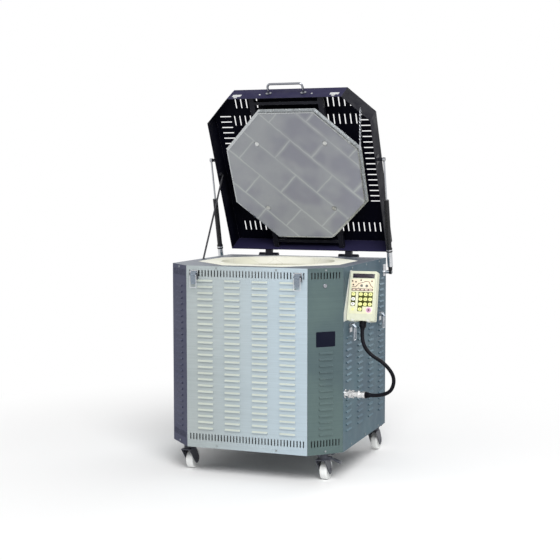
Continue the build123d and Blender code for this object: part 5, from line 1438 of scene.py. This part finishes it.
@dataclass
class Handset:
    """Handset in its cradle: case, display, printed field and keys."""

    x: float = 431.0
    y: float = -230.0
    z: float = 628.0
    tilt_deg: float = 14.45
    pocket: float = 0.8
    print_soft: float = 0.1
    # A pad's corner radius is at most its shorter side divided by this
    least_share: float = 2.05
    display: Area = (1.0, 180.5, 89.6, 17.6)
    field: Area = (-1.0, 98.0, 95.6, 139.6)
    graph_area: Area = (-2.0, 149.0, 90.0, 36.0)
    legend_bar: Area = (-2.0, 124.6, 88.0, 9.6)
    first_pill: Area = (-36.0, 124.6, 12.0, 4.2)
    pill_pitch: float = 17.0
    pills: int = 5
    key_areas: tuple[Area, ...] = (
        (-36.0, 86.5, 19.0, 56.0), (14.0, 86.5, 60.0, 58.0), (-6.0, 47.5, 20.0, 20.0),
    )
    yellow_mark: Area = (-35.0, 45.0, 9.0, 9.0)
    curve: tuple[Point, ...] = (
        (-44, 135.5), (-30, 135.5), (-17, 150.0), (-2, 153.5), (12, 158.5), (24, 157.0), (32, 143.0),
        (42, 134.0),
    )
    curve_width: float = 2.2
    squares: tuple[Point, ...] = (
        (-44.0, 159.0), (-30.0, 156.0), (-9.0, 163.0), (36.0, 160.0), (-40.0, 144.0),
    )
    square_size: Point = (5.8, 5.8)
    ticks: tuple[Point, ...] = ((-45.0, 133.0), (-17.0, 133.0))
    tick_size: Point = (1.2, 4.0)
    lenses: tuple[Point, ...] = ((-5.4, 141.0), (16.0, 140.3))
    lens: tuple[Point, ...] = ((0.0, 0.35), (4.2, 0.2), (5.4, -0.1), (5.7, -0.3), (0.0, -0.3))
    stop_ground: tuple[Point, ...] = ((0.0, -0.2), (12.4, -0.2), (12.6, -0.35), (0.0, -0.35))
    stop_cap: tuple[Point, ...] = ((0.0, 0.6), (8.4, 0.6), (9.2, 0.3), (9.4, -0.35), (0.0, -0.35))
    digits: str = "7894561230"
    digit_size: float = 8.5
    digit_height: float = 0.06
    sleeve_place: Triple = (7.0, 0.0, -16.0)
    sleeve_top: tuple[Point, ...] = ((0.0, 0.0), (15.4, 0.0), (15.4, 3.4), (14.6, 4.0))
    sleeve_ribs: Ribs = Ribs(
        count=5, start=5.0, pitch=3.4, groove=13.4, groove_taper=0.0, crest=14.2, crest_taper=0.12,
        rise=(1.3, 2.9),
    )
    sleeve_end: tuple[Point, ...] = (
        (13.2, 22.4), (11.2, 25.0), (9.4, 28.0), (8.9, 33.2), (8.2, 34.0), (0.0, 34.0),
    )
    key_columns: tuple[float, ...] = (-6.0, 14.0, 34.0)
    key_rows: tuple[float, ...] = (106.5, 86.5, 66.5)
    left_column: float = -36.0
    zero_key: Point = (-6.0, 46.0)
    stop_key: Point = (31.0, 44.0)
    key_size: Point = (15.6, 13.6)
    key_corner: float = 6.2
    key_foot: float = -0.35
    key_top: float = 0.7
    key_soft: float = 0.35

    def build(self) -> None:
        """Dresses the case and lays the display, the print and the keys on it."""
        dress(Finish.CREAM, "handset_case")
        tilt = math.radians(self.tilt_deg)
        face = Face(
            CENTRE + Vector((self.x, self.y, self.z)) * MM,
            Vector((1, 0, 0)),
            Vector((0, math.sin(tilt), math.cos(tilt))),
        )
        self.make_field(face)
        self.make_print(face)
        self.make_keys(face)
        self.make_gland(face)

    def lay(self, name: str, finish: Finish, mesh: Mesh) -> None:
        """Places a piece of the handset's front."""
        Piece(name, "cabinet", "membrane", finish).place(mesh)

    def pad(
        self, name: str, finish: Finish, face: Face, pads: Sequence[Area],
        radius: float, low: float, high: float,
    ) -> None:
        """Lays pads of one finish.

        Args:
            name: Name of their piece.
            finish: Their finish.
            face: The handset's front.
            pads: Middle and size of each.
            radius: Corner radius, less where a pad is small.
            low: Height of their underside over the front.
            high: Height of their top.
        """
        mesh = bmesh.new()
        for u, v, width, height in pads:
            corner = min(radius, width / self.least_share, height / self.least_share)
            add_pad(mesh, face, (u, v), (width, height), corner, low, high, self.print_soft)
        self.lay(name, finish, mesh)

    def make_field(self, face: Face) -> None:
        """Lays the printed field and the display window into their pockets.

        Args:
            face: The handset's front.
        """
        mesh = bmesh.new()
        u, v, width, height = self.field
        add_pad(
            mesh, face, (u, v), (width, height), radius=2.0, low=-self.pocket, high=-0.35, soft=self.print_soft
        )
        Piece("handset_field", "cabinet", "membrane", Finish.FIELD, ("handset_membrane",)).place(mesh)
        self.pad(
            "handset_display", Finish.DISPLAY, face, [self.display], radius=1.5, low=-self.pocket, high=-0.25
        )

    def make_print(self, face: Face) -> None:
        """Lays the coloured areas, the firing curve and the small marks.

        Args:
            face: The handset's front.
        """
        graph = [self.graph_area]
        self.pad("handset_graph_area", Finish.PEACH, face, graph, radius=2.0, low=-0.4, high=-0.3)
        legend = [self.legend_bar]
        self.pad("handset_legend_bar", Finish.MAUVE, face, legend, radius=1.0, low=-0.4, high=-0.25)
        start, *rest = self.first_pill
        pills = [(start + self.pill_pitch * index, *rest) for index in range(self.pills)]
        self.pad("handset_legend_pills", Finish.PEACH, face, pills, radius=1.2, low=-0.3, high=-0.2)
        self.pad("handset_key_area", Finish.OLIVE, face, self.key_areas, radius=1.0, low=-0.4, high=-0.3)
        mesh = bmesh.new()
        add_ribbon(mesh, face, self.curve, self.curve_width, low=-0.35, high=-0.15)
        for centre in self.squares:
            add_pad(mesh, face, centre, self.square_size, radius=1.2, low=-0.3, high=-0.1, soft=0.1)
        for centre in self.ticks:
            add_pad(mesh, face, centre, self.tick_size, radius=0.3, low=-0.3, high=-0.2, soft=0.05)
        self.lay("handset_print_marks", Finish.INK, mesh)
        mesh = bmesh.new()
        for centre in self.lenses:
            add_turned(mesh, face.seat(*centre), self.lens, sides=24)
        self.lay("handset_lenses", Finish.GREY_DOT, mesh)
        yellow = [self.yellow_mark]
        self.pad("handset_yellow_mark", Finish.YELLOW_KEY, face, yellow, radius=1.5, low=-0.35, high=-0.2)
        mesh = bmesh.new()
        add_turned(mesh, face.seat(*self.stop_key), self.stop_ground, sides=32)
        self.lay("handset_stop_ground", Finish.PALE_PINK, mesh)

    def make_keys(self, face: Face) -> None:
        """Sets the keys with their marks.

        Args:
            face: The handset's front.
        """
        numbers = [(u, v) for v in self.key_rows for u in self.key_columns]
        yellow = [*numbers, self.zero_key, (self.left_column, self.key_rows[0])]
        white = [(self.left_column, v) for v in self.key_rows[1:]]
        for name, finish, places in (
            ("handset_yellow_keys", Finish.YELLOW_KEY, yellow),
            ("handset_white_keys", Finish.WHITE_KEY, white),
        ):
            mesh = bmesh.new()
            for centre in places:
                add_pad(
                    mesh, face, centre, self.key_size, self.key_corner,
                    self.key_foot, self.key_top, self.key_soft,
                )
            self.lay(name, finish, mesh)
        mesh = bmesh.new()
        add_turned(mesh, face.seat(*self.stop_key), self.stop_cap, sides=32)
        self.lay("handset_stop_key", Finish.PINK_KEY, mesh)
        marks = bmesh.new()
        for digit, centre in zip(self.digits, (*numbers, self.zero_key)):
            self.add_digit(marks, face.seat(*centre, self.key_top), digit)
        left = [(self.left_column, v) for v in self.key_rows]
        for sign, centre in zip((Sign.BAR, Sign.UP, Sign.DOWN, Sign.STOP), (*left, self.stop_key)):
            add_prism(marks, face.seat(*centre, self.key_top), sign.value, low=-0.1, high=self.digit_height)
        self.lay("handset_key_marks", Finish.INK, marks)

    def add_digit(self, mesh: Mesh, face: Face, digit: str) -> None:
        """Adds a raised digit.

        Args:
            mesh: Mesh that takes it.
            face: Face that it is centred on.
            digit: The digit.
        """
        text = bpy.data.curves.new("digit", "FONT")
        text.body = digit
        text.size = self.digit_size * MM
        text.extrude = self.digit_height * MM
        text.align_x = "CENTER"
        text.align_y = "CENTER"
        text.resolution_u = 4
        shape = bpy.data.objects.new("digit", text)
        bpy.context.scene.collection.objects.link(shape)
        bpy.context.view_layer.update()
        data = bpy.data.meshes.new_from_object(shape)
        data.transform(face.matrix())
        mesh.from_mesh(data)
        bpy.data.objects.remove(shape)
        bpy.data.curves.remove(text)
        bpy.data.meshes.remove(data)

    def make_gland(self, face: Face) -> None:
        """Turns the ribbed sleeve that the cable leaves the handset through.

        Args:
            face: The handset's front.
        """
        down = Face(face.at(*self.sleeve_place), face.u, face.w)
        mesh = bmesh.new()
        add_turned(mesh, down, [*self.sleeve_top, *self.sleeve_ribs.profile(), *self.sleeve_end])
        Piece(
            "handset_cable_sleeve", "cabinet", "black_plastic", Finish.RUBBER, ("handset_gland",), 25.0
        ).place(mesh)


@dataclass
class CablePlug:
    """Plug of the handset cable in its socket on the right side panel."""

    y: float = -235.0
    z: float = 333.0
    socket: tuple[Point, ...] = (
        (0.0, -12.0), (8.6, -12.0), (8.6, 0.0), (17.8, 0.0), (17.8, 2.6), (17.0, 3.4), (14.6, 3.8),
        (14.6, 13.9), (0.0, 13.9),
    )
    collar: tuple[Point, ...] = (
        (0.0, 14.1), (15.6, 14.1), (16.9, 15.2), (16.9, 17.6), (15.4, 18.2), (0.0, 18.2),
    )
    shell: tuple[Point, ...] = (
        (0.0, 33.0), (15.2, 33.0), (16.6, 34.0), (16.6, 35.8), (15.2, 36.6), (13.2, 37.4), (13.2, 52.0),
        (14.9, 53.2), (14.9, 57.0), (13.6, 58.2), (12.8, 60.0), (12.8, 71.0), (14.2, 72.0), (14.2, 83.0),
        (13.0, 84.0), (0.0, 84.0),
    )
    screw: tuple[Point, ...] = ((0.0, -2.0), (2.6, -2.0), (2.6, 2.4), (2.0, 3.0), (0.0, 3.0))
    screw_side: float = 11.2
    screw_height: float = 66.0
    knurl_height: float = 18.0
    knurl_radius: float = 16.3
    knurl_length: float = 15.0
    knurl_groove: float = 0.95
    teeth: int = 30
    boot_start: tuple[Point, ...] = ((0.0, 83.5), (13.6, 83.5), (13.8, 86.0), (13.4, 88.0))
    boot_ribs: Ribs = Ribs(
        count=4, start=88.6, pitch=3.6, groove=11.7, groove_taper=0.85, crest=12.6, crest_taper=0.85,
        rise=(1.4, 2.8),
    )
    boot_end: tuple[Point, ...] = ((9.2, 103.6), (8.6, 106.6), (8.0, 107.0), (0.0, 107.0))

    def build(self) -> None:
        """Turns the socket, the knurled ring, the plug's body and its boot."""
        seat = RIGHT.seat(self.y, self.z)
        metal = bmesh.new()
        add_turned(metal, seat, self.socket)
        add_turned(metal, seat, self.collar)
        self.add_knurl(metal, seat.seat(0, 0, self.knurl_height))
        add_turned(metal, seat, self.shell)
        for side in (-1, 1):
            head = seat.at(side * self.screw_side, 0.0, self.screw_height)
            across = (seat.u * side).cross(seat.v)
            add_turned(metal, Face(head, across, seat.v), self.screw, sides=16)
        shell = Piece("plug_shell", "cabinet", "plug_metal", Finish.NICKEL, ("cable_plug",), crease_deg=30.0)
        shell.place(metal)
        boot = bmesh.new()
        add_turned(boot, seat, [*self.boot_start, *self.boot_ribs.profile(), *self.boot_end])
        Piece("plug_boot", "cabinet", "cable_rubber", Finish.RUBBER, crease_deg=25.0).place(boot)

    def add_knurl(self, mesh: Mesh, face: Face) -> None:
        """Adds the ring with straight knurling, its ends drawn in.

        Args:
            mesh: Mesh that takes it.
            face: Face it stands on.
        """
        rings = []
        length = self.knurl_length
        for height, scale in ((0.0, 0.9), (1.0, 0.985), (length - 1.0, 0.985), (length, 0.9)):
            ring = []
            for index in range(2 * self.teeth):
                turn = math.pi * index / self.teeth
                out = self.knurl_radius * scale * (1.0 if index % 2 else self.knurl_groove)
                ring.append(mesh.verts.new(face.at(out * math.cos(turn), out * math.sin(turn), height)))
            rings.append(ring)
        join_rings(mesh, rings, False, True)


def main() -> None:
    """Builds the studio and every sub-assembly of the kiln in order."""
    logging.basicConfig(level=logging.INFO, format="%(name)s: %(message)s")
    for part in (
        Studio(), HandsetCable(), Cabinet(), Chamber(), Lid(), LidChain(), Latches(), Struts(), Casters(),
        Handset(), CablePlug(),
    ):
        part.build()


if __name__ == "__main__":
    main()
